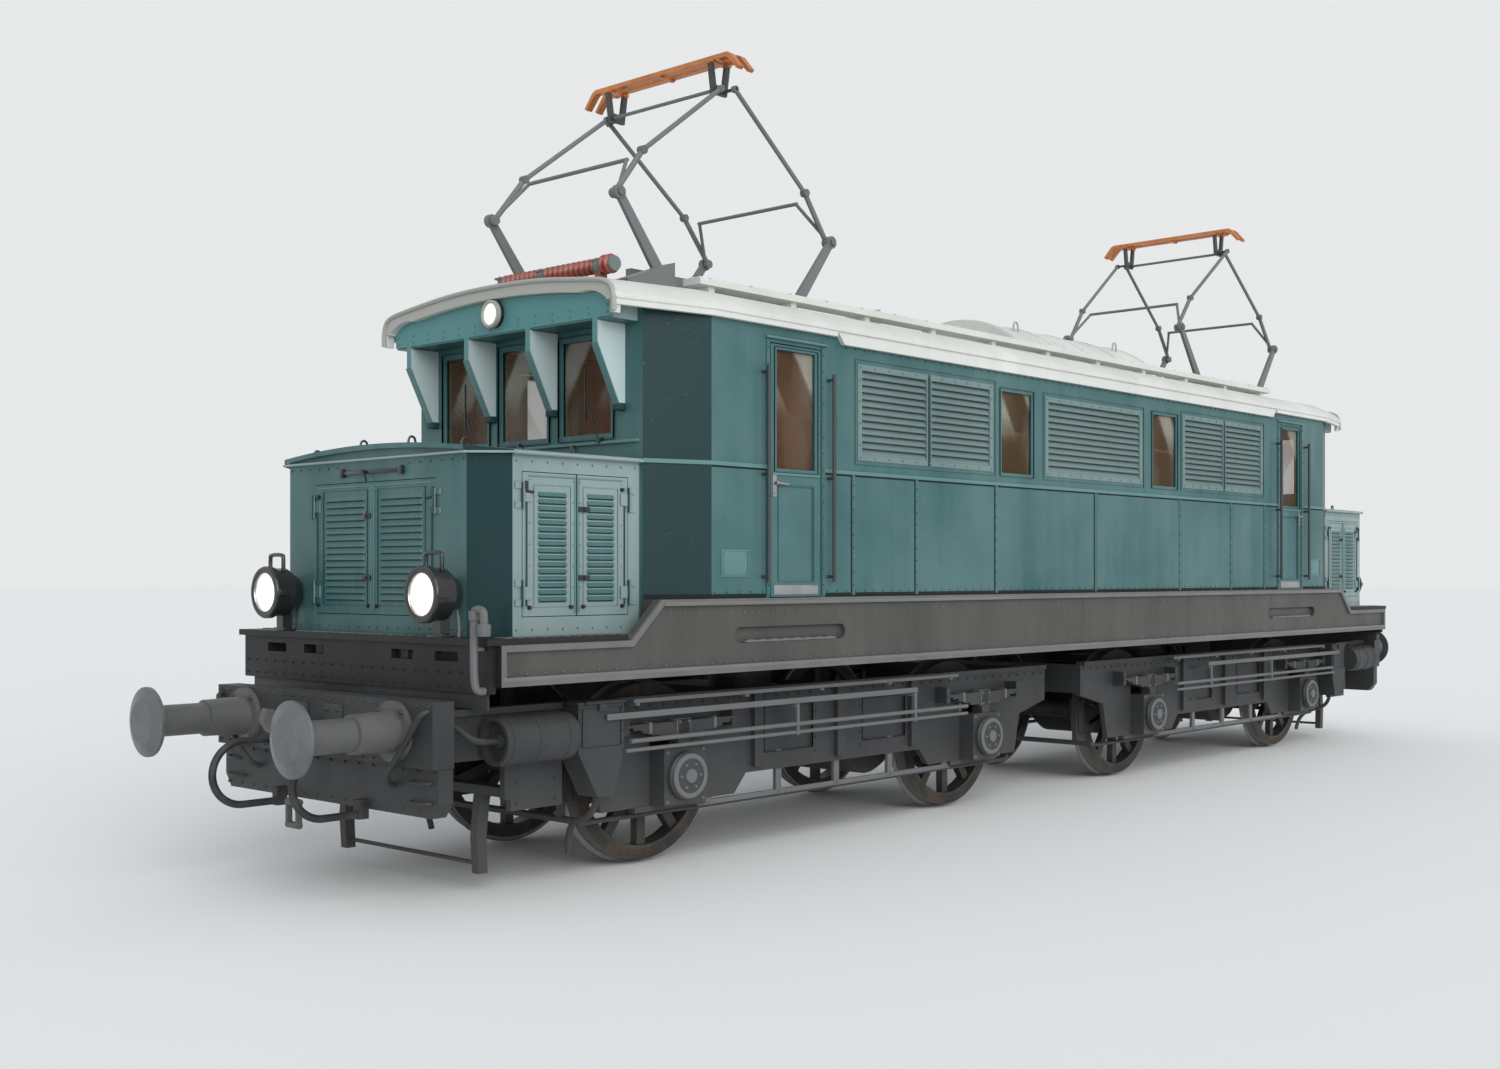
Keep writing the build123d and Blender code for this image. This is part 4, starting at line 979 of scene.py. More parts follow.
@dataclass
class BodySides:
    """Mouldings, seams, window frames and rivets on the long sides; one quarter is made and copied."""

    wall: float = 1.450
    corner_x: float = 4.850
    front_x: float = 5.310
    front_half: float = 1.270
    belt_z: float = 2.770
    sill_top: float = 1.840
    door: tuple[float, float] = (3.740, 4.280)
    window: tuple[float, float, float, float] = (1.030, 1.470, 2.870, 3.560)
    louvre: tuple[float, float, float, float] = (1.600, 3.330, 2.870, 3.600)
    middle_louvre: tuple[float, float, float] = (0.820, 2.870, 3.570)
    seams: tuple[float, ...] = (1.550, 2.620, 3.380)

    def build(self) -> None:
        """Makes every fitting on the sides."""
        self._mouldings()
        self._seams()
        self._windows()
        self._louvres()
        self._rivets()
        self._plates()

    def _mouldings(self) -> None:
        """Belt moulding round the cab corner, drip strip over the doors and gutter bead."""
        y, z = self.wall, self.belt_z
        belt = Workpiece("belt_moulding", TEAL_PALE)
        belt.block((0.0, y - 0.002, z - 0.014), (self.door[0] - 0.030, y + 0.012, z + 0.014))
        rim = [(self.door[1] + 0.030, y - 0.002), (self.corner_x, y - 0.002),
               (self.front_x, self.front_half - 0.002),
               (self.front_x + 0.005, self.front_half + 0.010), (self.corner_x + 0.003, y + 0.012),
               (self.door[1] + 0.030, y + 0.012)]
        belt.plate([(x, w, z - 0.014) for x, w in rim], (0.0, 0.0, 0.028))
        belt.quarters().ride(BODY)
        drip = Workpiece("door_drip_strips", TEAL_PALE)
        drip.block((self.door[0] - 0.050, y - 0.002, 3.686), (self.door[1] + 0.050, y + 0.026, 3.702))
        drip.quarters().ride(BODY)
        bead = Workpiece("gutter_beads", ROOF_WHITE)
        bead.rod((0.0, 1.498, 3.818), (4.84, 1.498, 3.818), 0.009, 8)
        bead.rod((4.84, 1.498, 3.818), (5.59, 1.330, 3.818), 0.009, 8)
        bead.quarters().ride(BODY)

    def _seams(self) -> None:
        """Cover strips over the sheet joints below the belt and beside the doors."""
        y = self.wall
        strips = Workpiece("seam_strips", TEAL)
        for x in self.seams:
            strips.block((x - 0.017, y - 0.002, self.sill_top + 0.012),
                         (x + 0.017, y + 0.006, self.belt_z - 0.014), 0.002)
        strips.block((0.0, y - 0.002, self.sill_top + 0.012), (0.017, y + 0.006, self.belt_z - 0.014), 0.002)
        for x in (self.door[0] - 0.022, self.door[1] + 0.022):
            strips.block((x - 0.018, y - 0.002, self.sill_top + 0.012), (x + 0.018, y + 0.008, 3.680), 0.003)
        strips.quarters().ride(BODY)
        gaps = Workpiece("seam_shadows", SOOT)
        for x in (*self.seams, 0.0):
            gaps.block((x + 0.0165, y - 0.002, self.sill_top + 0.034),
                       (x + 0.028, y + 0.002, self.belt_z - 0.015), 0.0005)
        gaps.block((0.0, y - 0.002, self.belt_z - 0.026),
                   (self.door[0] - 0.042, y + 0.004, self.belt_z - 0.0145), 0.0005)
        gaps.block((self.door[1] + 0.042, y - 0.002, self.belt_z - 0.026),
                   (self.corner_x - 0.002, y + 0.004, self.belt_z - 0.0145), 0.0005)
        gaps.quarters().ride(BODY)

        foot = Workpiece("body_foot_strips", SOOT)
        low, high = self.sill_top + 0.002, self.sill_top + 0.032
        foot.block((0.0, y - 0.0015, low), (self.door[0] - 0.045, y + 0.0035, high), 0.001)
        rim = [(self.door[1] + 0.045, y - 0.0015), (self.corner_x, y - 0.0015),
               (self.front_x - 0.006, self.front_half + 0.001),
               (self.front_x - 0.005, self.front_half + 0.006), (self.corner_x + 0.001, y + 0.0035),
               (self.door[1] + 0.045, y + 0.0035)]
        foot.plate([(x, w, low) for x, w in rim], (0.0, 0.0, high - low))
        foot.quarters().ride(BODY)

    def _windows(self) -> None:
        """Outer frames, seals and brown inner frames of the side windows."""
        x0, x1, z0, z1 = self.window
        y = self.wall
        frames = Workpiece("side_window_frames", TEAL_PALE)
        frames.surround(upright(x0 - 0.030, x1 + 0.030, z0 - 0.030, z1 + 0.030, y - 0.002), 0.036,
                        (0.0, 0.012, 0.0))
        frames.quarters().ride(BODY)
        seals = Workpiece("side_window_seals", SEAL)
        seals.surround(upright(x0, x1, z0, z1, y - 0.021), 0.016, (0.0, 0.008, 0.0), 0.002)
        seals.quarters().ride(BODY)
        inner = Workpiece("side_window_linings", LINING_BROWN)
        inner.surround(upright(x0 - 0.050, x1 + 0.050, z0 - 0.050, z1 + 0.050, 1.390), 0.085,
                       (0.0, 0.012, 0.0))
        inner.block((x0, 1.404, (z0 + z1) / 2 - 0.014), (x1, 1.418, (z0 + z1) / 2 + 0.014))
        inner.quarters().ride(BODY)

    def _louvres(self) -> None:
        """Dark sheets behind the louvres and dark outlines round them, both painted shade, and bolts round
        their frames.
        """
        x0, x1, z0, z1 = self.louvre
        half, low, high = self.middle_louvre
        # painted shade: dark sheets behind the louvres
        shade_sheets = Workpiece("louvre_shade_sheets", SOOT)
        shade_sheets.block((x0 + 0.01, 1.388, z0 + 0.01), (x1 - 0.01, 1.396, z1 - 0.01))
        shade_sheets.block((0.0, 1.388, low + 0.01), (half - 0.01, 1.396, high - 0.01))
        shade_sheets.quarters().ride(BODY)
        # painted shade: dark outlines round the louvres and a dark bar down the middle of the long one
        lines = Workpiece("louvre_outlines", SHADOW_TEAL)
        lines.surround(upright(x0 - 0.032, x1 + 0.032, z0 - 0.032, z1 + 0.032, self.wall - 0.002), 0.030,
                       (0.0, 0.007, 0.0), 0.002)
        lines.surround(upright(-half - 0.032, half + 0.032, low - 0.032, high + 0.032, self.wall - 0.002),
                       0.030,
                       (0.0, 0.007, 0.0), 0.002)
        lines.block(((x0 + x1) / 2 - 0.015, 1.452, z0 + 0.004), ((x0 + x1) / 2 + 0.015, 1.4605, z1 - 0.004),
                    0.002)
        lines.quarters().ride(BODY)
        bolts = Workpiece("louvre_bolts", TEAL_PALE)
        spots = [(x, 1.456, z) for x in steps(x0 + 0.03, x1 - 0.03, 0.17) for z in (z0 + 0.022, z1 - 0.022)]
        spots += [(x, 1.456, z) for z in steps(z0 + 0.12, z1 - 0.12, 0.16) for x in (x0 + 0.022, x1 - 0.022)]
        spots += [(x, 1.456, z) for x in steps(0.07, half - 0.03, 0.17) for z in (low + 0.022, high - 0.022)]
        bolts.studs(spots, Axis.Y.value, 0.010).quarters().ride(BODY)

    def _rivets(self) -> None:
        """Rivet rows along the sill, under the belt and beside the seams."""
        y = self.wall
        heads = Workpiece("side_rivets", TEAL)
        spots = [(x, y, self.sill_top + 0.045) for x in steps(0.06, self.door[0] - 0.07, 0.105)]
        spots += [(x, y, self.sill_top + 0.045)
                  for x in steps(self.door[1] + 0.07, self.corner_x - 0.03, 0.105)]
        spots += [(x, y, 3.705) for x in steps(0.06, self.door[0] - 0.07, 0.105)]
        spots += [(x, y + 0.006, z) for x in self.seams for z in steps(1.93, 2.68, 0.095)]
        spots += [(x, y + 0.008, z) for x in (self.door[0] - 0.022, self.door[1] + 0.022)
                  for z in steps(1.93, 3.62, 0.12)]
        heads.studs(spots, Axis.Y.value, 0.008).quarters().ride(BODY)

    def _plates(self) -> None:
        """Blank cast plates with their screws beside the doors."""
        plates = Workpiece("blank_side_plates", TEAL_PALE)
        plates.block((4.500, self.wall - 0.002, 1.990), (4.760, self.wall + 0.007, 2.180), 0.003)
        plates.surround(upright(4.512, 4.748, 2.002, 2.168, self.wall + 0.005), 0.010, (0.0, 0.005, 0.0),
                        0.002)
        plates.studs([(x, self.wall + 0.007, z) for x in (4.528, 4.732) for z in (2.018, 2.152)],
                     Axis.Y.value, 0.006)
        plates.quarters().ride(BODY)


@dataclass
class CabFront:
    """Window frames, wipers, brackets, the brown lining and the stools of both cabs."""

    face: float = 5.310
    windows: tuple[float, ...] = (-0.690, 0.0, 0.690)
    half: float = 0.255
    low: float = 2.970
    high: float = 3.620
    brackets: tuple[float, ...] = (0.355, 1.070)
    stool: Point = (4.420, -0.620, 0.0)

    def build(self) -> None:
        """Makes the fittings of both cab fronts and their linings."""
        self._frames()
        self._wipers()
        self._lining()
        self._gussets()

    def _frames(self) -> None:
        """Pale raised frames with screws, seals and brown inner frames round the windows."""
        frames = Workpiece("front_window_frames", TEAL_PALE)
        seals = Workpiece("front_window_seals", SEAL)
        inner = Workpiece("front_window_linings", CAB_BROWN)
        for y in self.windows:
            y0, y1 = y - self.half, y + self.half
            frames.surround(endwise(y0 - 0.040, y1 + 0.040, self.low - 0.040, self.high + 0.040,
                                    self.face - 0.002),
                            0.048, (0.016, 0.0, 0.0), 0.005)
            frames.studs([(self.face + 0.014, w, z) for w in steps(y0 - 0.02, y1 + 0.02, 0.11)
                          for z in (self.low - 0.022, self.high + 0.022)], Axis.X.value, 0.006)
            seals.surround(endwise(y0, y1, self.low, self.high, self.face - 0.021), 0.018,
                           (0.012, 0.0, 0.0), 0.002)
            inner.surround(endwise(y0 - 0.045, y1 + 0.045, self.low - 0.045, self.high + 0.045,
                                   self.face - 0.060),
                           0.075, (0.024, 0.0, 0.0))
        for piece in (frames, seals, inner):
            piece.both_ends().ride(BODY)
        ledge = Workpiece("front_window_ledge", TEAL_PALE)
        ledge.block((self.face - 0.002, 0.0, 2.895), (self.face + 0.020, 1.240, 2.916))
        ledge.quarters().ride(BODY)

    def _wipers(self) -> None:
        """A wiper at the foot of each outer window."""
        wipers = Workpiece("window_wipers", LAMP_BLACK)
        for y in (self.windows[0], self.windows[-1]):
            wipers.rod((self.face, y + 0.160, 2.925), (self.face + 0.034, y + 0.160, 2.925), 0.022, 14, 0.8)
            wipers.rod((self.face + 0.030, y + 0.160, 2.925), (self.face + 0.024, y + 0.020, 3.240), 0.006,
                       8)
            wipers.block((self.face + 0.012, y + 0.004, 3.060), (self.face + 0.024, y + 0.016, 3.420), 0.003)
        wipers.both_ends().ride(BODY)

    def _lining(self) -> None:
        """Brown panels on the cab's ceiling, front and sides, and the driver's stool."""
        lining = Workpiece("cab_lining", CAB_BROWN)
        lining.block((3.690, 0.0, 3.788), (5.240, 1.170, 3.796))
        lining.block((4.300, 1.388, 1.850), (4.830, 1.396, 3.760))
        lining.block((5.2515, 0.0, 1.850), (5.2585, 1.150, 2.920))
        lining.block((5.2515, 0.0, 3.670), (5.2585, 1.150, 3.780))
        for y0, y1 in ((0.300, 0.390), (0.990, 1.150)):
            lining.block((5.2515, y0, 2.920), (5.2585, y1, 3.670))
        lining.quarters().ride(BODY)
        seat = Workpiece("driver_stools", MACHINE_GREY)
        x, y, _ = self.stool
        seat.rod((x, y, 1.840), (x, y, 1.860), 0.160, 24)
        seat.rod((x, y, 1.860), (x, y, 2.330), 0.030, 14)
        seat.turned([(0.0, 2.330), (0.150, 2.330), (0.185, 2.345), (0.190, 2.375), (0.160, 2.395),
                     (0.0, 2.405)],
                    self.stool, Axis.Z)
        seat.both_ends().ride(BODY)

    def _gussets(self) -> None:
        """Edge strips on the brackets under the roof, bolts on the fascia, dark feet that are painted shade
        and pale cheeks that are painted light.
        """
        edges = Workpiece("bracket_edges", TEAL_PALE)
        for y in self.brackets:
            edges.plate([(5.365, y - 0.030, 3.155), (5.371, y - 0.030, 3.152), (5.560, y - 0.030, 3.548),
                         (5.553, y - 0.030, 3.550)], (0.0, 0.060, 0.0))
        edges.studs([(5.553, y, z) for y in steps(0.06, 1.20, 0.19) for z in (3.740, 3.785)], Axis.X.value,
                    0.009)
        edges.quarters().ride(BODY)
        # painted shade: dark blocks on the lower ends of the brackets
        feet = Workpiece("bracket_foot_shadows", SHADOW_TEAL)
        for y in self.brackets:
            feet.block((5.309, y - 0.034, 3.112), (5.374, y + 0.034, 3.158), 0.006)
        feet.quarters().ride(BODY)
        # painted light: pale plates on both faces of each bracket
        cheeks = Workpiece("bracket_cheek_highlights", CHEEK_LIGHT)
        outline = [(5.312, 3.162), (5.364, 3.162), (5.548, 3.550), (5.548, 3.694), (5.312, 3.694)]
        for y in self.brackets:
            for face, out in ((y + 0.0235, 0.0035), (y - 0.0235, -0.0035)):
                cheeks.plate([(x, face, z) for x, z in outline], (0.0, out, 0.0))
        cheeks.quarters().ride(BODY)


@dataclass
class CabDoor:
    """Pane, frames, handle, kick plate and belt strip on one cab door."""

    end: End
    flipped: bool
    sheet: float = 1.450
    span: tuple[float, float] = (3.748, 4.270)
    window: tuple[float, float, float, float] = (3.805, 4.210, 2.765, 3.615)

    def build(self) -> None:
        """Makes the door's fittings and hangs them on its body."""
        body = f"cab_door_{self.end.value}_{'right' if self.flipped else 'left'}"
        place = self.end.turn() @ (FLIP if self.flipped else Matrix.Identity(4))
        x0, x1, z0, z1 = self.window
        y = self.sheet
        pane = Workpiece(f"{body}_pane", WINDOW)
        pane.block((x0 + 0.002, y - 0.030, z0 + 0.002), (x1 - 0.002, y - 0.024, z1 - 0.002), 0.001)
        frame = Workpiece(f"{body}_window_frame", TEAL_PALE)
        frame.surround(upright(x0 - 0.026, x1 + 0.026, z0 - 0.026, z1 + 0.020, y - 0.002), 0.034,
                       (0.0, 0.011, 0.0))
        frame.block((self.span[0] + 0.012, y - 0.002, 2.716), (self.span[1] - 0.012, y + 0.010, 2.734),
                    0.003)
        frame.surround(upright(3.822, 4.198, 1.952, 2.648, y - 0.002), 0.012, (0.0, 0.007, 0.0), 0.002)
        lining = Workpiece(f"{body}_lining", LINING_BROWN)
        lining.surround(upright(x0, x1, z0, z1, y - 0.048), 0.028, (0.0, 0.016, 0.0))
        seal = Workpiece(f"{body}_seal", SEAL)
        seal.surround(upright(x0, x1, z0, z1, y - 0.024), 0.014, (0.0, 0.008, 0.0), 0.002)
        lock = Workpiece(f"{body}_handle", RAIL_STEEL)
        lock.block((4.214, y - 0.002, 2.560), (4.256, y + 0.006, 2.720), 0.003)
        lock.rod((4.235, y, 2.660), (4.235, y + 0.040, 2.660), 0.013)
        lock.rod((4.240, y + 0.036, 2.660), (4.130, y + 0.040, 2.652), 0.010, 12, 0.8)
        lock.rod((4.235, y, 2.590), (4.235, y + 0.012, 2.590), 0.011)
        lock.block((self.span[0] + 0.030, y - 0.002, 1.862), (self.span[1] - 0.030, y + 0.004, 1.930), 0.002)
        for piece in (pane, frame, lining, seal, lock):
            piece.placed(place).ride(body)


@dataclass(frozen=True)
class Leaf:
    """One hood door leaf: where its hinge is, how far it is turned and how wide it is."""

    name: str
    x: float
    y: float
    turn: float
    width: float
    low: float
    high: float
    louvre: tuple[float, float]
    flipped: bool
    latched: bool

    def place(self, end: End) -> Matrix:
        """Returns the way from the leaf's own frame, hinge at the origin and outside at -y, to an end."""
        at = Matrix.Translation((self.x, self.y, 0.0)) @ Matrix.Rotation(math.radians(self.turn), 4, "Z")
        return end.turn() @ (FLIP if self.flipped else Matrix.Identity(4)) @ at


FRONT_LEAF = (6.543, -0.705, 90.0, 0.700, 1.740, 2.620, (0.145, 0.610))
REAR_LEAF = (5.420, -1.263, 0.0, 0.425, 1.740, 2.650, (0.125, 0.345))
OUTER_LEAF = (6.280, 1.263, 180.0, 0.425, 1.740, 2.650, (0.125, 0.345))
LEAVES = (Leaf("front_right", *FRONT_LEAF, False, True), Leaf("front_left", *FRONT_LEAF, True, False),
          Leaf("right_rear", *REAR_LEAF, False, True), Leaf("left_rear", *REAR_LEAF, True, True),
          Leaf("left_front", *OUTER_LEAF, False, False), Leaf("right_front", *OUTER_LEAF, True, False))


@dataclass
class HoodDoors:
    """Painted shadow strips under the louvre lips and by the leaf edges, edge beads, latches and catches on
    the hood's door leaves.
    """

    end: End
    face: float = 0.013
    louvres: int = 16
    pitch: float = 0.044

    def build(self) -> None:
        """Fits out all six leaves of one hood."""
        for leaf in LEAVES:
            self._leaf(leaf)

    def _leaf(self, leaf: Leaf) -> None:
        """Fits out one leaf.

        Args:
            leaf: the leaf's place and size.
        """
        body = f"hood_door_{self.end.value}_{leaf.name}"
        y, far = self.face, leaf.width
        # painted shade: a dark strip under each louvre lip, a dark strip on the leaf's far edge and a dark
        # rod near the hinge
        shade_strips = Workpiece(f"{body}_slits", SHADOW_TEAL)
        for i in range(self.louvres):
            z = leaf.low + 0.100 + self.pitch * i
            shade_strips.block((leaf.louvre[0] + 0.004, y - 0.002, z - 0.010),
                        (leaf.louvre[1] - 0.004, y + 0.001, z - 0.001),
                        0.0008)
        shade_strips.block((far - 0.004, y + 0.004, leaf.low + 0.012),
                    (far - 0.0005, y + 0.026, leaf.high - 0.012), 0.0008)
        shade_strips.rod((0.034, y - 0.003, leaf.low + 0.070), (0.034, y - 0.003, leaf.high - 0.110), 0.006, 8)
        bead = Workpiece(f"{body}_bead", TEAL_PALE)
        near, wide = leaf.louvre[0] - 0.034, leaf.louvre[1] + 0.034
        top = leaf.low + 0.124 + self.pitch * self.louvres
        bead.surround(upright(near, wide, leaf.low + 0.062, top, y + 0.001), 0.009, (0.0, -0.005, 0.0),
                      0.002)
        bead.block((far - 0.016, y - 0.005, leaf.low + 0.020), (far - 0.004, y + 0.001, leaf.high - 0.020),
                   0.002)
        bead.block((0.048, y - 0.004, leaf.high - 0.032), (far - 0.020, y + 0.001, leaf.high - 0.022), 0.002)
        bead.studs([(x, y, z) for x in (0.060, far - 0.024)
                    for z in steps(leaf.low + 0.05, leaf.high - 0.05, 0.135)],
                   (0.0, -1.0, 0.0), 0.006)
        catch = Workpiece(f"{body}_latches", LAMP_BLACK)
        if leaf.latched:
            for z in (leaf.low + 0.245, leaf.high - 0.225):
                catch.block((far - 0.094, y - 0.016, z - 0.017), (far - 0.004, y - 0.004, z + 0.017), 0.004)
                catch.rod((far - 0.052, y, z), (far - 0.052, y - 0.026, z), 0.013, 12)
        else:
            catch.block((0.020, y - 0.010, leaf.high - 0.135), (0.046, y + 0.001, leaf.high - 0.060), 0.004)
            catch.rod((0.033, y - 0.006, leaf.high - 0.125), (0.082, y - 0.012, leaf.high - 0.128), 0.009,
                      10)
        spots = [(0.055, leaf.low + 0.060), (far - 0.045, leaf.low + 0.060)]
        if leaf.latched:
            spots.append((0.055, leaf.high - 0.085))
        for x, z in spots:
            catch.rod((x, y, z), (x, y - 0.020, z), 0.015, 12, 0.7)
        for piece in (shade_strips, bead, catch):
            piece.placed(leaf.place(self.end)).ride(body)


@dataclass
class HoodTrim:
    """Lock bar, lifting eyes, a pale lip bead that is a painted highlight, rivets and deck treads round both
    hoods.
    """

    half: float = 1.250
    front: float = 6.530
    lip: Point = (6.566, 1.286, 2.764)
    corner: tuple[float, float] = (6.360, 1.050)

    def build(self) -> None:
        """Makes what is fixed to the hoods."""
        lock = Workpiece("hood_lock_bars", LAMP_BLACK)
        lock.block((self.front - 0.001, -0.340, 2.672), (self.front + 0.020, 0.340, 2.696), 0.004)
        lock.block((self.front - 0.001, -0.365, 2.655), (self.front + 0.026, -0.325, 2.712), 0.004)
        lock.block((self.front - 0.001, 0.325, 2.655), (self.front + 0.026, 0.365, 2.712), 0.004)
        lock.rod((self.front + 0.018, -0.070, 2.684), (self.front + 0.040, -0.070, 2.684), 0.015)
        lock.rod((self.front + 0.034, -0.070, 2.690), (self.front + 0.036, -0.020, 2.625), 0.010, 10, 0.8)
        lock.both_ends().ride(BODY)
        eyes = Workpiece("hood_lifting_eyes", LAMP_BLACK)
        for x, y, z in ((6.420, 0.280, 2.848), (6.420, 0.860, 2.808), (5.560, 0.280, 2.848),
                        (5.560, 0.860, 2.808)):
            eyes.turned([(0.034, -0.006), (0.034, 0.004), (0.020, 0.012), (0.0, 0.013)], (x, y, z), Axis.Z,
                        16)
            eyes.pipe(eye((x, y, z), 0.026, 0.030, 0.060), 0.008, 6)
        eyes.quarters().ride(BODY)
        # painted highlight: a pale bead along the hood's top edge
        bead = Workpiece("hood_lip_highlight_beads", LIP_HIGHLIGHT)
        x, y, z = self.lip
        line = [(5.312, y, z), (self.corner[0], y, z), (x, self.corner[1], z), (x, 0.0, z)]
        for start, end in zip(line, line[1:]):
            bead.rod(start, end, 0.008, 8)
        bead.quarters().ride(BODY)
        rivets = Workpiece("hood_rivets", TEAL)
        spots = [(x, self.half, z) for x in steps(5.360, 6.320, 0.12) for z in (1.662, 2.712)]
        rivets.studs(spots, Axis.Y.value, 0.008)
        rivets.studs([(self.front, y, 1.662) for y in steps(0.05, 1.0, 0.12)], Axis.X.value, 0.008)
        rivets.studs([(self.front, y, 2.725) for y in steps(0.42, 1.0, 0.12)], Axis.X.value, 0.008)
        rivets.quarters().ride(BODY)
        self._deck()

    def _deck(self) -> None:
        """Tread strips on the deck round the hood."""
        deck = Workpiece("deck_treads", RAIL_GREY)
        for x in steps(5.420, 6.500, 0.09):
            deck.block((x - 0.022, 1.296, 1.619), (x + 0.022, 1.420, 1.625), 0.002)
        for y in steps(0.06, 0.72, 0.11):
            deck.block((6.585, y - 0.026, 1.619), (6.655, y + 0.026, 1.625), 0.002)
        deck.quarters().ride(BODY)


@dataclass
class Lamps:
    """Handles, bezels, clamps and conduits of the lower lamps, and the upper lamps' pale rims."""

    x: float = 6.775
    y: float = 0.920
    z: float = 1.885
    upper: Point = (5.605, 0.0, 3.840)

    def build(self) -> None:
        """Makes the fittings of all six lamps."""
        black = Workpiece("lamp_handles_and_clamps", LAMP_BLACK)
        grip = [(-0.084, 2.030), (-0.086, 2.118), (-0.078, 2.142), (0.078, 2.142), (0.086, 2.118),
                (0.084, 2.030)]
        black.pipe([(6.690, self.y + w, z) for w, z in grip], 0.014)
        black.turned([(0.133, 0.0), (0.133, 0.008), (0.146, 0.014), (0.172, 0.010), (0.178, -0.002)],
                     (self.x, self.y, self.z), Axis.X, 40)
        for w in (self.y + 0.176, self.y - 0.176):
            black.block((6.700, w - 0.016, self.z - 0.022), (6.776, w + 0.016, self.z + 0.022), 0.005)
        black.block((6.590, self.y - 0.075, 1.619), (6.690, self.y + 0.075, 1.634), 0.004)
        black.studs([(x, self.y + w, 1.634) for x in (6.605, 6.675) for w in (-0.058, 0.058)], Axis.Z.value,
                    0.010)
        black.rod((6.560, self.y, self.z), (6.540, self.y, self.z), 0.040, 18, 0.7)
        black.quarters().ride(BODY)
        ring = Workpiece("lamp_reflector_rings", RAIL_STEEL)
        ring.turned([(0.1300, -0.012), (0.1300, 0.004), (0.1335, 0.009), (0.1365, 0.006)],
                    (self.x, self.y, self.z), Axis.X, 40)
        ring.quarters().ride(BODY)
        conduit = Workpiece("lamp_conduits", PIPE_GREY)
        conduit.pipe([(6.552, self.y, self.z), (6.538, self.y, 1.840), (6.545, self.y + 0.060, 1.700),
                      (6.560, self.y + 0.070, 1.616)], 0.011)
        conduit.quarters().ride(BODY)
        upper = Workpiece("upper_lamp_rims", RIM_GREY)
        upper.turned([(0.0755, -0.004), (0.0755, 0.006), (0.086, 0.012), (0.098, 0.006), (0.1, -0.020)],
                     self.upper, Axis.X, 36)
        upper.both_ends().ride(BODY)


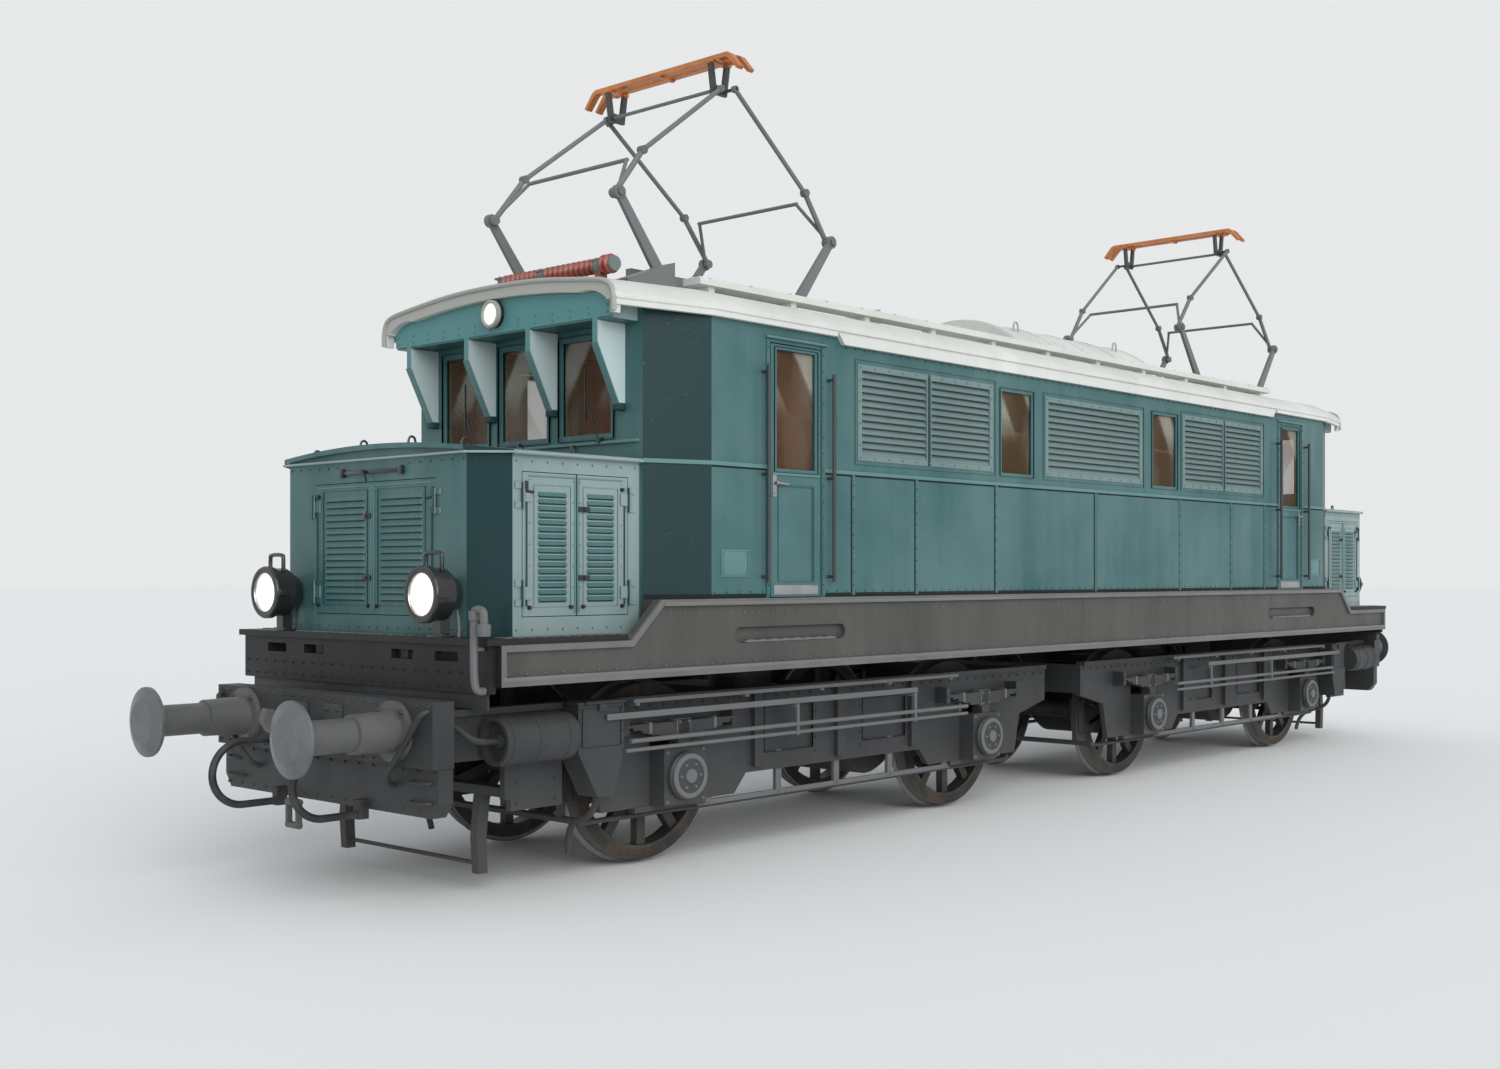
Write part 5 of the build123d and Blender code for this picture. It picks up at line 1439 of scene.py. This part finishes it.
@dataclass
class RoofTrim:
    """Seams, rim beads, boards, hatch ribs, insulator caps and the roof conductors."""

    crown: float = 4.030
    crown_radius: float = 10.5625
    crown_angle: float = 0.1110
    crown_sag: float = 0.065
    shoulder: float = 1.17
    seams: tuple[float, ...] = (0.620, 1.500, 2.380, 3.260, 4.140)
    last_seam: float = 4.760
    hatch_x: tuple[float, ...] = (-2.150, -1.560, -0.975, -0.390, 0.200)
    hatch_crest: float = 4.450
    hatch_radius: float = 1.183
    hatch_angle: float = 0.672
    row: tuple[float, float] = (5.400, 4.095)
    base_x: float = 3.950

    def build(self) -> None:
        """Makes the roof's fittings."""
        self._skin()
        self._boards()
        self._row()
        self._conductors()

    def _height(self, y: float) -> float:
        """Height of the roof at a distance from its middle."""
        return self.crown - self.crown_sag * (y / self.shoulder) ** 2

    def _skin(self) -> None:
        """Seams over the roof, beads round its ends and ribs over the hatch."""
        seams = Workpiece("roof_seams", ROOF_WHITE)
        for x in (*self.seams, self.last_seam):
            seams.arched((x - 0.022, 0.0, self.crown - 0.001), (x + 0.022, 0.0, self.crown + 0.007),
                         self.crown_radius,
                         self.crown_angle)
        seams.studs([(x, y, self._height(y) + 0.006) for x in self.seams for y in steps(-1.12, 1.12, 0.16)],
                    Axis.Z.value, 0.008)
        seams.both_ends().ride(BODY)
        bead = Workpiece("roof_end_beads", RIM_GREY)
        half = [(5.602, 1.322, 3.730), (5.602, 1.326, 3.850), (5.602, 1.262, 3.936), (5.602, 1.000, 3.968),
                (5.602, 0.500, 4.020), (5.602, 0.0, 4.030)]
        bead.pipe(half + [(x, -y, z) for x, y, z in half[-2::-1]], 0.017)
        bead.both_ends().ride(BODY)
        ribs = Workpiece("hatch_ribs", ROOF_WHITE)
        for x in self.hatch_x:
            ribs.arched((x - 0.024, 0.0, self.hatch_crest - 0.001),
                        (x + 0.024, 0.0, self.hatch_crest + 0.010),
                        self.hatch_radius, self.hatch_angle, 20)
        ribs.ride(BODY)
        eyes = Workpiece("hatch_lifting_eyes", RIM_GREY)
        for x in (-1.860, -0.080):
            for y in (-0.500, 0.500):
                eyes.pipe(eye((x, y, 4.337), 0.036, 0.042, 0.090), 0.009, 6)
        eyes.ride(BODY)
        wedge = Workpiece("roof_vent_cowls", RIM_GREY)
        wedge.plate([(2.040, 0.420, 4.005), (2.640, 0.420, 4.005), (2.640, 0.420, 4.075),
                     (2.040, 0.420, 4.270)], (0.0, 0.170, 0.0))
        wedge.studs([(x, 0.590, 4.035) for x in steps(2.08, 2.60, 0.13)], Axis.Y.value, 0.008)
        wedge.quarters().ride(BODY)

    def _boards(self) -> None:
        """Boards with gaps on the walkways, held by cleats."""
        boards = Workpiece("walkway_boards", ROOF_WHITE)
        for y in (0.792, 0.852, 0.912):
            boards.block((0.0, y, 4.138), (4.500, y + 0.054, 4.153), 0.003)
        for x in steps(0.20, 4.40, 0.42):
            boards.block((x - 0.018, 0.786, 4.150), (x + 0.018, 0.972, 4.157), 0.002)
        boards.quarters().ride(BODY)

    def _row(self) -> None:
        """Grey-green caps and clamps on the insulators that lie across the roof ends, and on the bases."""
        x, z = self.row
        caps = Workpiece("insulator_caps", CAP_GREEN)
        for y0, y1, radius in ((-0.118, -0.088, 0.047), (0.318, 0.382, 0.047), (0.918, 0.985, 0.050),
                               (1.075, 1.100, 0.050)):
            caps.turned([(0.0, y0), (radius, y0), (radius + 0.004, (y0 + y1) / 2), (radius, y1), (0.0, y1)],
                        (x, 0.0, z), Axis.Y, 24)
        for y in (-0.120, 0.350, 0.950):
            caps.block((x - 0.050, y - 0.042, 4.118), (x + 0.050, y + 0.042, 4.134), 0.004)
            caps.studs([(x + s, y, 4.134) for s in (-0.032, 0.032)], Axis.Z.value, 0.010)
        for dx in (-0.430, 0.430):
            for y in (-0.550, 0.550):
                foot = self._height(y)
                caps.turned([(0.0, foot - 0.004), (0.096, foot - 0.004), (0.096, foot + 0.010),
                             (0.070, foot + 0.020), (0.0, foot + 0.020)],
                            (self.base_x + dx, y, 0.0), Axis.Z, 24)
        caps.both_ends().ride(BODY)

    def _conductors(self) -> None:
        """Roof conductors from the pantographs to a standing bushing and to one on the hatch's end."""
        wires = Workpiece("roof_conductors", COPPER)
        wires.pipe([(3.510, -0.300, 4.203), (3.300, -0.300, 4.222), (2.850, -0.300, 4.300),
                    (1.600, -0.310, 4.345),
                    (0.900, -0.320, 4.330)], 0.013)
        wires.pipe([(-3.510, 0.300, 4.203), (-3.300, 0.300, 4.222), (-2.800, 0.300, 4.270),
                    (-2.370, 0.300, 4.270)], 0.013)
        wires.ride(BODY)
        stand, wall = (0.900, -0.320, 0.0), (-2.200, 0.300, 4.270)
        bushing = Workpiece("roof_bushings", CERAMIC)
        ribs = [(0.0, 4.020), (0.080, 4.020)]
        for i in range(6):
            low = 4.034 + 0.042 * i
            ribs += [(0.046, low), (0.078 - 0.003 * i, low + 0.012), (0.078 - 0.003 * i, low + 0.020),
                     (0.046, low + 0.032)]
        bushing.turned(ribs + [(0.034, 4.298), (0.0, 4.298)], stand, Axis.Z, 28)
        ribs = [(0.0, -0.170), (0.030, -0.170)]
        for i in range(3):
            low = -0.152 + 0.042 * i
            ribs += [(0.040, low), (0.064, low + 0.012), (0.064, low + 0.020), (0.040, low + 0.032)]
        bushing.turned(ribs + [(0.040, -0.010), (0.0, -0.010)], wall, Axis.X, 28)
        bushing.ride(BODY)
        tops = Workpiece("bushing_caps", CAP_GREEN)
        tops.turned([(0.0, 4.290), (0.040, 4.290), (0.044, 4.310), (0.040, 4.345), (0.020, 4.356),
                     (0.0, 4.356)], stand, Axis.Z, 20)
        tops.turned([(0.0, 4.014), (0.105, 4.014), (0.105, 4.030), (0.082, 4.038), (0.0, 4.038)], stand,
                    Axis.Z, 24)
        tops.turned([(0.0, -0.192), (0.022, -0.190), (0.034, -0.180), (0.034, -0.162), (0.0, -0.162)], wall,
                    Axis.X, 20)
        tops.turned([(0.0, -0.026), (0.068, -0.026), (0.082, -0.014), (0.082, 0.004), (0.0, 0.004)], wall,
                    Axis.X, 24)
        tops.ride(BODY)


@dataclass
class PantographTrim:
    """Raising springs on the base, and caps and knuckles on the arms."""

    end: End
    x: float = 3.950
    root: tuple[float, float] = (0.720, 4.160)
    knee: tuple[float, float] = (1.110, 4.690)
    bend: tuple[float, float] = (0.843, 5.046)

    def build(self) -> None:
        """Makes the fittings of one pantograph."""
        turn = self.end.turn()
        number = self.end.value
        springs = Workpiece(f"pantograph_{number}_springs", ARM_GREY)
        for y in (-0.190, 0.190):
            coil = [(self.x - 0.300 + 0.600 * i / 144, y + 0.030 * math.cos(i * math.pi / 4),
                     4.236 + 0.030 * math.sin(i * math.pi / 4))
                    for i in range(145)]
            springs.pipe(coil, 0.006, 2)
            springs.rod((self.x - 0.400, y, 4.236), (self.x + 0.400, y, 4.236), 0.008, 10)
            for dx in (-0.400, 0.400):
                springs.block((self.x + dx - 0.016, y - 0.024, 4.180),
                              (self.x + dx + 0.016, y + 0.024, 4.256))
        springs.placed(turn).ride(BODY)
        for name, side, tip in (("outer", 1.0, 0.655), ("inner", -1.0, 0.725)):
            caps = Workpiece(f"pantograph_{number}_lower_{name}_caps", PIPE_GREY)
            knuckles = Workpiece(f"pantograph_{number}_upper_{name}_knuckles", PIPE_GREY)
            bend_y = 0.690 + (tip - 0.690) * 0.3
            for y in (-1.0, 1.0):
                for (dx, z), radius in ((self.knee, 0.030), (self.root, 0.034)):
                    caps.rod((self.x + side * dx, y * 0.750, z), (self.x + side * dx, y * 0.774, z), radius,
                             6)
                bend = (self.x + side * self.bend[0], self.bend[1])
                knuckles.rod((bend[0], y * (bend_y - 0.026), bend[1]),
                             (bend[0], y * (bend_y + 0.026), bend[1]), 0.031, 18)
            caps.placed(turn).ride(f"pantograph_{number}_lower_{name}")
            knuckles.placed(turn).ride(f"pantograph_{number}_upper_{name}")


@dataclass
class BogieTrim:
    """Pipes, hangers, bolts, lids and brackets on one bogie; one side is made and mirrored."""

    end: End
    axles: tuple[float, float] = (4.900, 1.400)
    axle_z: float = 0.625
    frame_face: float = 1.090
    cylinder: tuple[float, float] = (1.262, 0.985)
    buffer: tuple[float, float] = (0.875, 1.060)

    def build(self) -> None:
        """Makes the bogie's fittings."""
        for piece in (self._pipes(), self._tie_rail(), self._boxes(), self._rivets(), self._sandbox(),
                      self._headstock(),
                      self._brake_gear(), self._springs()):
            piece.both_sides().placed(self.end.turn()).ride(f"bogie_{self.end.value}")

    def _named(self, name: str, finish: Finish) -> Workpiece:
        """Starts a piece that is named for this bogie."""
        return Workpiece(f"bogie_{self.end.value}_{name}", finish)

    def _pipes(self) -> Workpiece:
        """Long flat bars and air pipes with clips along the side frame."""
        bars = self._named("side_pipes", PIPE_GREY)
        bars.block((1.800, 1.232, 1.148), (5.360, 1.246, 1.176))
        bars.block((2.420, 1.290, 1.056), (5.640, 1.304, 1.098))
        bars.rod((1.760, 1.300, 0.905), (5.440, 1.300, 0.905), 0.017, 12)
        bars.rod((1.760, 1.300, 0.845), (5.480, 1.300, 0.845), 0.014, 12)
        for x in (1.900, 2.700, 3.500, 4.300, 5.330):
            bars.block((x - 0.016, 1.088, 1.130), (x + 0.016, 1.250, 1.150), 0.003)
        for x in (2.460, 3.840):
            bars.block((x - 0.016, 1.088, 1.030), (x + 0.016, 1.306, 1.050), 0.003)
            bars.block((x - 0.012, 1.286, 0.825), (x + 0.012, 1.318, 1.056), 0.003)
        return bars

    def _tie_rail(self) -> Workpiece:
        """Tie rail between the axle guards, on five hangers."""
        rail = self._named("tie_rail", PIPE_GREY)
        rail.block((1.700, 1.048, 0.365), (4.620, 1.074, 0.403))
        for x in (1.780, 2.500, 3.150, 3.800, 4.520):
            rail.block((x - 0.030, 1.044, 0.365), (x + 0.030, 1.078, 0.700), 0.004)
            rail.studs([(x, 1.078, z) for z in (0.384, 0.640)], Axis.Y.value, 0.013)
        return rail

    def _boxes(self) -> Workpiece:
        """Rings, bolts and lugs on the axle-box covers."""
        boxes = self._named("axle_box_rings", PIPE_GREY)
        for x in self.axles:
            boxes.turned([(0.120, 1.296), (0.120, 1.304), (0.132, 1.309), (0.150, 1.306), (0.156, 1.296)],
                         (x, 0.0, self.axle_z), Axis.Y, 36)
            boxes.turned([(0.0, 1.296), (0.052, 1.296), (0.048, 1.312), (0.0, 1.314)],
                         (x, 0.0, self.axle_z), Axis.Y, 24)
            boxes.studs([(x + 0.088 * math.cos(a), 1.300, self.axle_z + 0.088 * math.sin(a))
                         for a in steps(0.0, 5.236, 1.047)], Axis.Y.value, 0.014)
            boxes.studs([(x + sx * 0.165, 1.240, self.axle_z + sz * 0.170) for sx in (-1, 1)
                         for sz in (-1, 1)], Axis.Y.value, 0.016)
        return boxes

    def _rivets(self) -> Workpiece:
        """Rivets along the frame plates and round their ribs."""
        rivets = self._named("frame_rivets", FRAME_BLACK)
        y = self.frame_face
        rivets.studs([(x, y, 1.108) for x in steps(0.36, 6.70, 0.125)], Axis.Y.value, 0.012)
        for x in (2.300, 2.890, 3.410, 4.000):
            rivets.studs([(x, y, z) for z in steps(0.66, 1.06, 0.10)], Axis.Y.value, 0.011)
        for low in (2.330, 3.440):
            rivets.surround(upright(low, low + 0.530, 0.690, 1.030, y - 0.004), 0.020, (0.0, 0.010, 0.0))
        rivets.studs([(x, y, z) for x in (5.900, 6.200) for z in steps(0.56, 0.82, 0.13)], Axis.Y.value,
                     0.012)
        return rivets

    def _sandbox(self) -> Workpiece:
        """Lid, hinge, straps and sand pipe of the sandbox."""
        box = self._named("sandbox_fittings", FRAME_BLACK)
        box.block((5.468, 1.070, 1.166), (5.872, 1.292, 1.184))
        box.rod((5.520, 1.296, 1.178), (5.820, 1.296, 1.178), 0.012, 10)
        box.block((5.640, 1.276, 1.120), (5.700, 1.300, 1.180))
        box.surround(upright(5.510, 5.830, 0.890, 1.140, 1.276), 0.022, (0.0, 0.010, 0.0))
        box.studs([(x, 1.280, z) for x in (5.495, 5.845) for z in steps(0.90, 1.14, 0.08)], Axis.Y.value,
                  0.009)
        box.pipe([(5.630, 1.180, 0.570), (5.630, 1.170, 0.430), (5.600, 0.900, 0.360),
                  (5.560, 0.800, 0.240), (5.545, 0.790, 0.130)], 0.022)
        return box

    def _headstock(self) -> Workpiece:
        """Rivets, buffer bolts, grips, a pipe and a cock on the headstock."""
        front = self._named("headstock_fittings", FRAME_BLACK)
        buffer_y, buffer_z = self.buffer
        front.studs([(6.930, y, z) for y in steps(0.06, 1.22, 0.115) for z in (0.880, 1.222)
                     if abs(y - buffer_y) > 0.2 or abs(z - buffer_z) > 0.2], Axis.X.value, 0.012)
        front.studs([(6.965, buffer_y + sy * 0.122, buffer_z + sz * 0.122) for sy in (-1, 1)
                     for sz in (-1, 1)],
                    Axis.X.value, 0.020)
        front.block((6.928, 0.100, 0.930), (6.944, 0.300, 1.190))
        front.studs([(6.944, y, z) for y in (0.130, 0.270) for z in (0.965, 1.155)], Axis.X.value, 0.016)
        front.studs([(6.880, y, z) for y in steps(0.08, 1.20, 0.16) for z in (0.585, 0.825)], Axis.X.value,
                    0.012)
        for z in (0.640, 0.760):
            front.pipe([(6.880, 0.980, z), (6.930, 0.980, z), (6.930, 1.180, z), (6.880, 1.180, z)], 0.010,
                       6)
        front.pipe([(6.900, 1.215, 1.200), (6.965, 1.205, 1.190), (6.972, 1.150, 1.120),
                    (6.972, 1.060, 1.010),
                    (6.972, 0.930, 0.880), (6.968, 0.840, 0.800), (6.940, 0.800, 0.740),
                    (6.886, 0.790, 0.720)], 0.019)
        front.rod((6.930, 0.480, 1.010), (6.962, 0.480, 1.010), 0.026, 14)
        front.rod((6.955, 0.480, 1.010), (6.955, 0.430, 1.080), 0.008, 8)
        return front

    def _brake_gear(self) -> Workpiece:
        """Bands, pipe and bolts of the brake cylinder."""
        gear = self._named("brake_fittings", FRAME_BLACK)
        y, z = self.cylinder
        for x in (6.010, 6.240, 6.440):
            gear.turned([(0.149, -0.018), (0.156, -0.014), (0.156, 0.014), (0.149, 0.018)], (x, y, z),
                        Axis.X, 36)
        gear.studs([(6.456, y + 0.139 * math.cos(a), z + 0.139 * math.sin(a))
                    for a in steps(0.0, 5.497, 0.785)],
                   Axis.X.value, 0.010)
        gear.rod((6.440, y, z), (6.470, y, z), 0.050, 20, 0.8)
        gear.pipe([(6.465, y, z), (6.580, y, z), (6.660, 1.230, 1.020), (6.710, 1.160, 1.095),
                   (6.785, 1.110, 1.110)], 0.020)
        return gear

    def _springs(self) -> Workpiece:
        """Buckles, clips and nuts on the leaf springs."""
        nuts = self._named("spring_fittings", PIPE_GREY)
        for x in self.axles:
            nuts.block((x - 0.062, 1.128, 0.884), (x + 0.062, 1.232, 1.018))
            nuts.studs([(x + dx, 1.232, z) for dx in (-0.040, 0.040) for z in (0.905, 0.995)], Axis.Y.value,
                       0.011)
            for dx in (-0.300, 0.300):
                nuts.block((x + dx - 0.014, 1.130, 0.930), (x + dx + 0.014, 1.230, 1.010), 0.003)
        return nuts


@dataclass
class SillTrim:
    """Pale rails along the sills that are painted highlights, rivets, step treads, end-beam aprons and the
    standpipe at the deck's corner.
    """

    side: float = 1.450
    low: float = 1.330
    top: float = 1.840

    def build(self) -> None:
        """Makes the underframe's trim."""
        # painted highlight: pale grey rails along the sill's top and bottom edges
        rails = Workpiece("sill_rail_highlights", RAIL_GREY)
        rails.block((0.0, self.side - 0.004, self.low + 0.030), (6.590, self.side + 0.027, self.low + 0.056))
        rails.block((0.0, self.side + 0.014, self.top - 0.044), (5.300, self.side + 0.030, self.top - 0.016))
        rails.quarters().ride(BODY)
        rivets = Workpiece("sill_rivets", SILL_GREY)
        rivets.studs([(x, self.side, 1.402) for x in steps(0.06, 6.54, 0.14)], Axis.Y.value, 0.010)
        rivets.studs([(x, self.side, 1.745) for x in steps(0.06, 5.24, 0.14)], Axis.Y.value, 0.010)
        rivets.studs([(6.650, y, z) for y in steps(0.06, 1.38, 0.12) for z in (1.325, 1.410)], Axis.X.value,
                     0.010)
        rivets.quarters().ride(BODY)
        treads = Workpiece("step_treads", RAIL_GREY)
        treads.block((3.580, self.side - 0.050, 1.532), (4.520, self.side + 0.004, 1.546))
        for x in steps(3.64, 4.46, 0.11):
            treads.block((x - 0.030, self.side - 0.046, 1.545), (x + 0.030, self.side, 1.551), 0.002)
        treads.quarters().ride(BODY)
        backs = Workpiece("step_backs", SILL_GREY)
        backs.block((3.470, self.side - 0.045, 1.520), (4.630, self.side - 0.038, 1.650), 0.001)
        backs.quarters().ride(BODY)
        apron = Workpiece("end_beam_aprons", FRAME_BLACK)
        apron.block((6.600, 0.0, 1.190), (6.615, 1.360, 1.296), 0.003)
        apron.studs([(6.615, y, 1.215) for y in steps(0.08, 1.30, 0.15)], Axis.X.value, 0.010)
        apron.quarters().ride(BODY)
        stand = Workpiece("deck_standpipes", PIPE_GREY)
        stand.pipe([(6.640, 1.380, 1.310), (6.700, 1.380, 1.300), (6.722, 1.376, 1.360),
                    (6.722, 1.372, 1.550),
                    (6.722, 1.374, 1.740), (6.722, 1.376, 1.796), (6.722, 1.430, 1.800),
                    (6.722, 1.470, 1.790), (6.722, 1.474, 1.720), (6.722, 1.474, 1.690)], 0.024)
        stand.turned([(0.0, 1.640), (0.036, 1.640), (0.040, 1.652), (0.040, 1.706), (0.030, 1.716),
                      (0.0, 1.716)],
                     (6.722, 1.474, 0.0), Axis.Z, 20)
        stand.rod((6.722, 1.376, 1.735), (6.722, 1.376, 1.790), 0.033, 16)
        stand.rod((6.655, 1.374, 1.560), (6.722, 1.374, 1.560), 0.014, 10)
        stand.both_ends().ride(BODY)


@dataclass
class Studio:
    """Pale floor, soft lights and the camera at the photograph's place."""

    eye: Point = (12.4203, 9.3403, 2.0061 + RAIL)
    heading: float = 0.6882
    focal_px: float = 1591.07
    image: tuple[int, int] = (1500, 1069)
    optical_centre: tuple[float, float] = (900.0, 574.56)
    floor_half: float = 260.0
    floor_colour: Colour = (0.915, 0.915, 0.905)
    suns: tuple[tuple[Point, float, float], ...] = (
        ((0.30, 0.88, 0.60), 1.40, 0.9), ((0.45, 0.85, 0.16), 0.75, 0.7))
    sky: float = 0.62

    def build(self) -> None:
        """Sets the stage."""
        self._camera()
        self._floor()
        self._world()
        self._sun()
        bpy.context.scene.view_settings.view_transform = "Standard"

    def _camera(self) -> None:
        """Places a level camera with the lens shift of the photograph's framing."""
        width, height = self.image
        data = bpy.data.cameras.new("view")
        data.sensor_width = 36.0
        data.lens = self.focal_px * data.sensor_width / width
        data.shift_x = (width / 2 - self.optical_centre[0]) / width
        data.shift_y = (self.optical_centre[1] - height / 2) / width
        data.clip_end = 500.0
        camera = bpy.data.objects.new("view", data)
        camera.location = self.eye
        camera.rotation_euler = (math.pi / 2, 0.0, math.pi / 2 + self.heading)
        bpy.context.scene.collection.objects.link(camera)
        bpy.context.scene.camera = camera

    def _floor(self) -> None:
        """Lays the floor."""
        mesh = bmesh.new()
        bmesh.ops.create_grid(mesh, x_segments=1, y_segments=1, size=self.floor_half)
        data = bpy.data.meshes.new("floor")
        mesh.to_mesh(data)
        mesh.free()
        floor = bpy.data.objects.new("floor", data)
        shader = Shader("floor")
        shade = shader.noise(0.4, 2.0)
        shader.set(Base_Color=shader.mix(shade, self.floor_colour, (0.935, 0.935, 0.925)), Roughness=0.9)
        data.materials.append(shader.material)
        bpy.context.scene.collection.objects.link(floor)

    def _world(self) -> None:
        """White for the camera and for reflections, soft grey light otherwise."""
        world = bpy.data.worlds.new("studio")
        world.use_nodes = True
        tree = world.node_tree
        tree.nodes.clear()
        output = tree.nodes.new("ShaderNodeOutputWorld")
        path = tree.nodes.new("ShaderNodeLightPath")
        seen = tree.nodes.new("ShaderNodeBackground")
        seen.inputs[0].default_value = (0.80, 0.815, 0.82, 1.0)
        soft = tree.nodes.new("ShaderNodeBackground")
        soft.inputs[0].default_value = (0.86, 0.90, 0.94, 1.0)
        soft.inputs[1].default_value = self.sky
        ray = path.outputs["Is Camera Ray"]
        for kind in ("Is Glossy Ray", "Is Transmission Ray"):
            either = tree.nodes.new("ShaderNodeMath")
            either.operation = "MAXIMUM"
            tree.links.new(ray, either.inputs[0])
            tree.links.new(path.outputs[kind], either.inputs[1])
            ray = either.outputs[0]
        mixer = tree.nodes.new("ShaderNodeMixShader")
        tree.links.new(ray, mixer.inputs[0])
        tree.links.new(soft.outputs[0], mixer.inputs[1])
        tree.links.new(seen.outputs[0], mixer.inputs[2])
        tree.links.new(mixer.outputs[0], output.inputs[0])
        bpy.context.scene.world = world

    def _sun(self) -> None:
        """Hangs a broad high light and a low one under the roof rim, far off on the seen side."""
        for number, (source, strength, spread) in enumerate(self.suns):
            data = bpy.data.lights.new(f"broad_light_{number}", "SUN")
            data.energy = strength
            data.angle = spread
            lamp = bpy.data.objects.new(f"broad_light_{number}", data)
            lamp.rotation_euler = Vector(source).to_track_quat("Z", "Y").to_euler()
            bpy.context.scene.collection.objects.link(lamp)


def main() -> None:
    """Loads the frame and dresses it."""
    logging.basicConfig(level=logging.INFO, format="%(name)s %(message)s")
    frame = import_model()
    Studio().build()
    dress_nodes(frame["nodes"])
    for part in (BodySides(), CabFront(), HoodTrim(), Lamps(), RoofTrim(), SillTrim()):
        part.build()
    for end in End:
        for part in (CabDoor(end, False), CabDoor(end, True), HoodDoors(end), PantographTrim(end),
                     BogieTrim(end)):
            part.build()


if __name__ == "__main__":
    main()
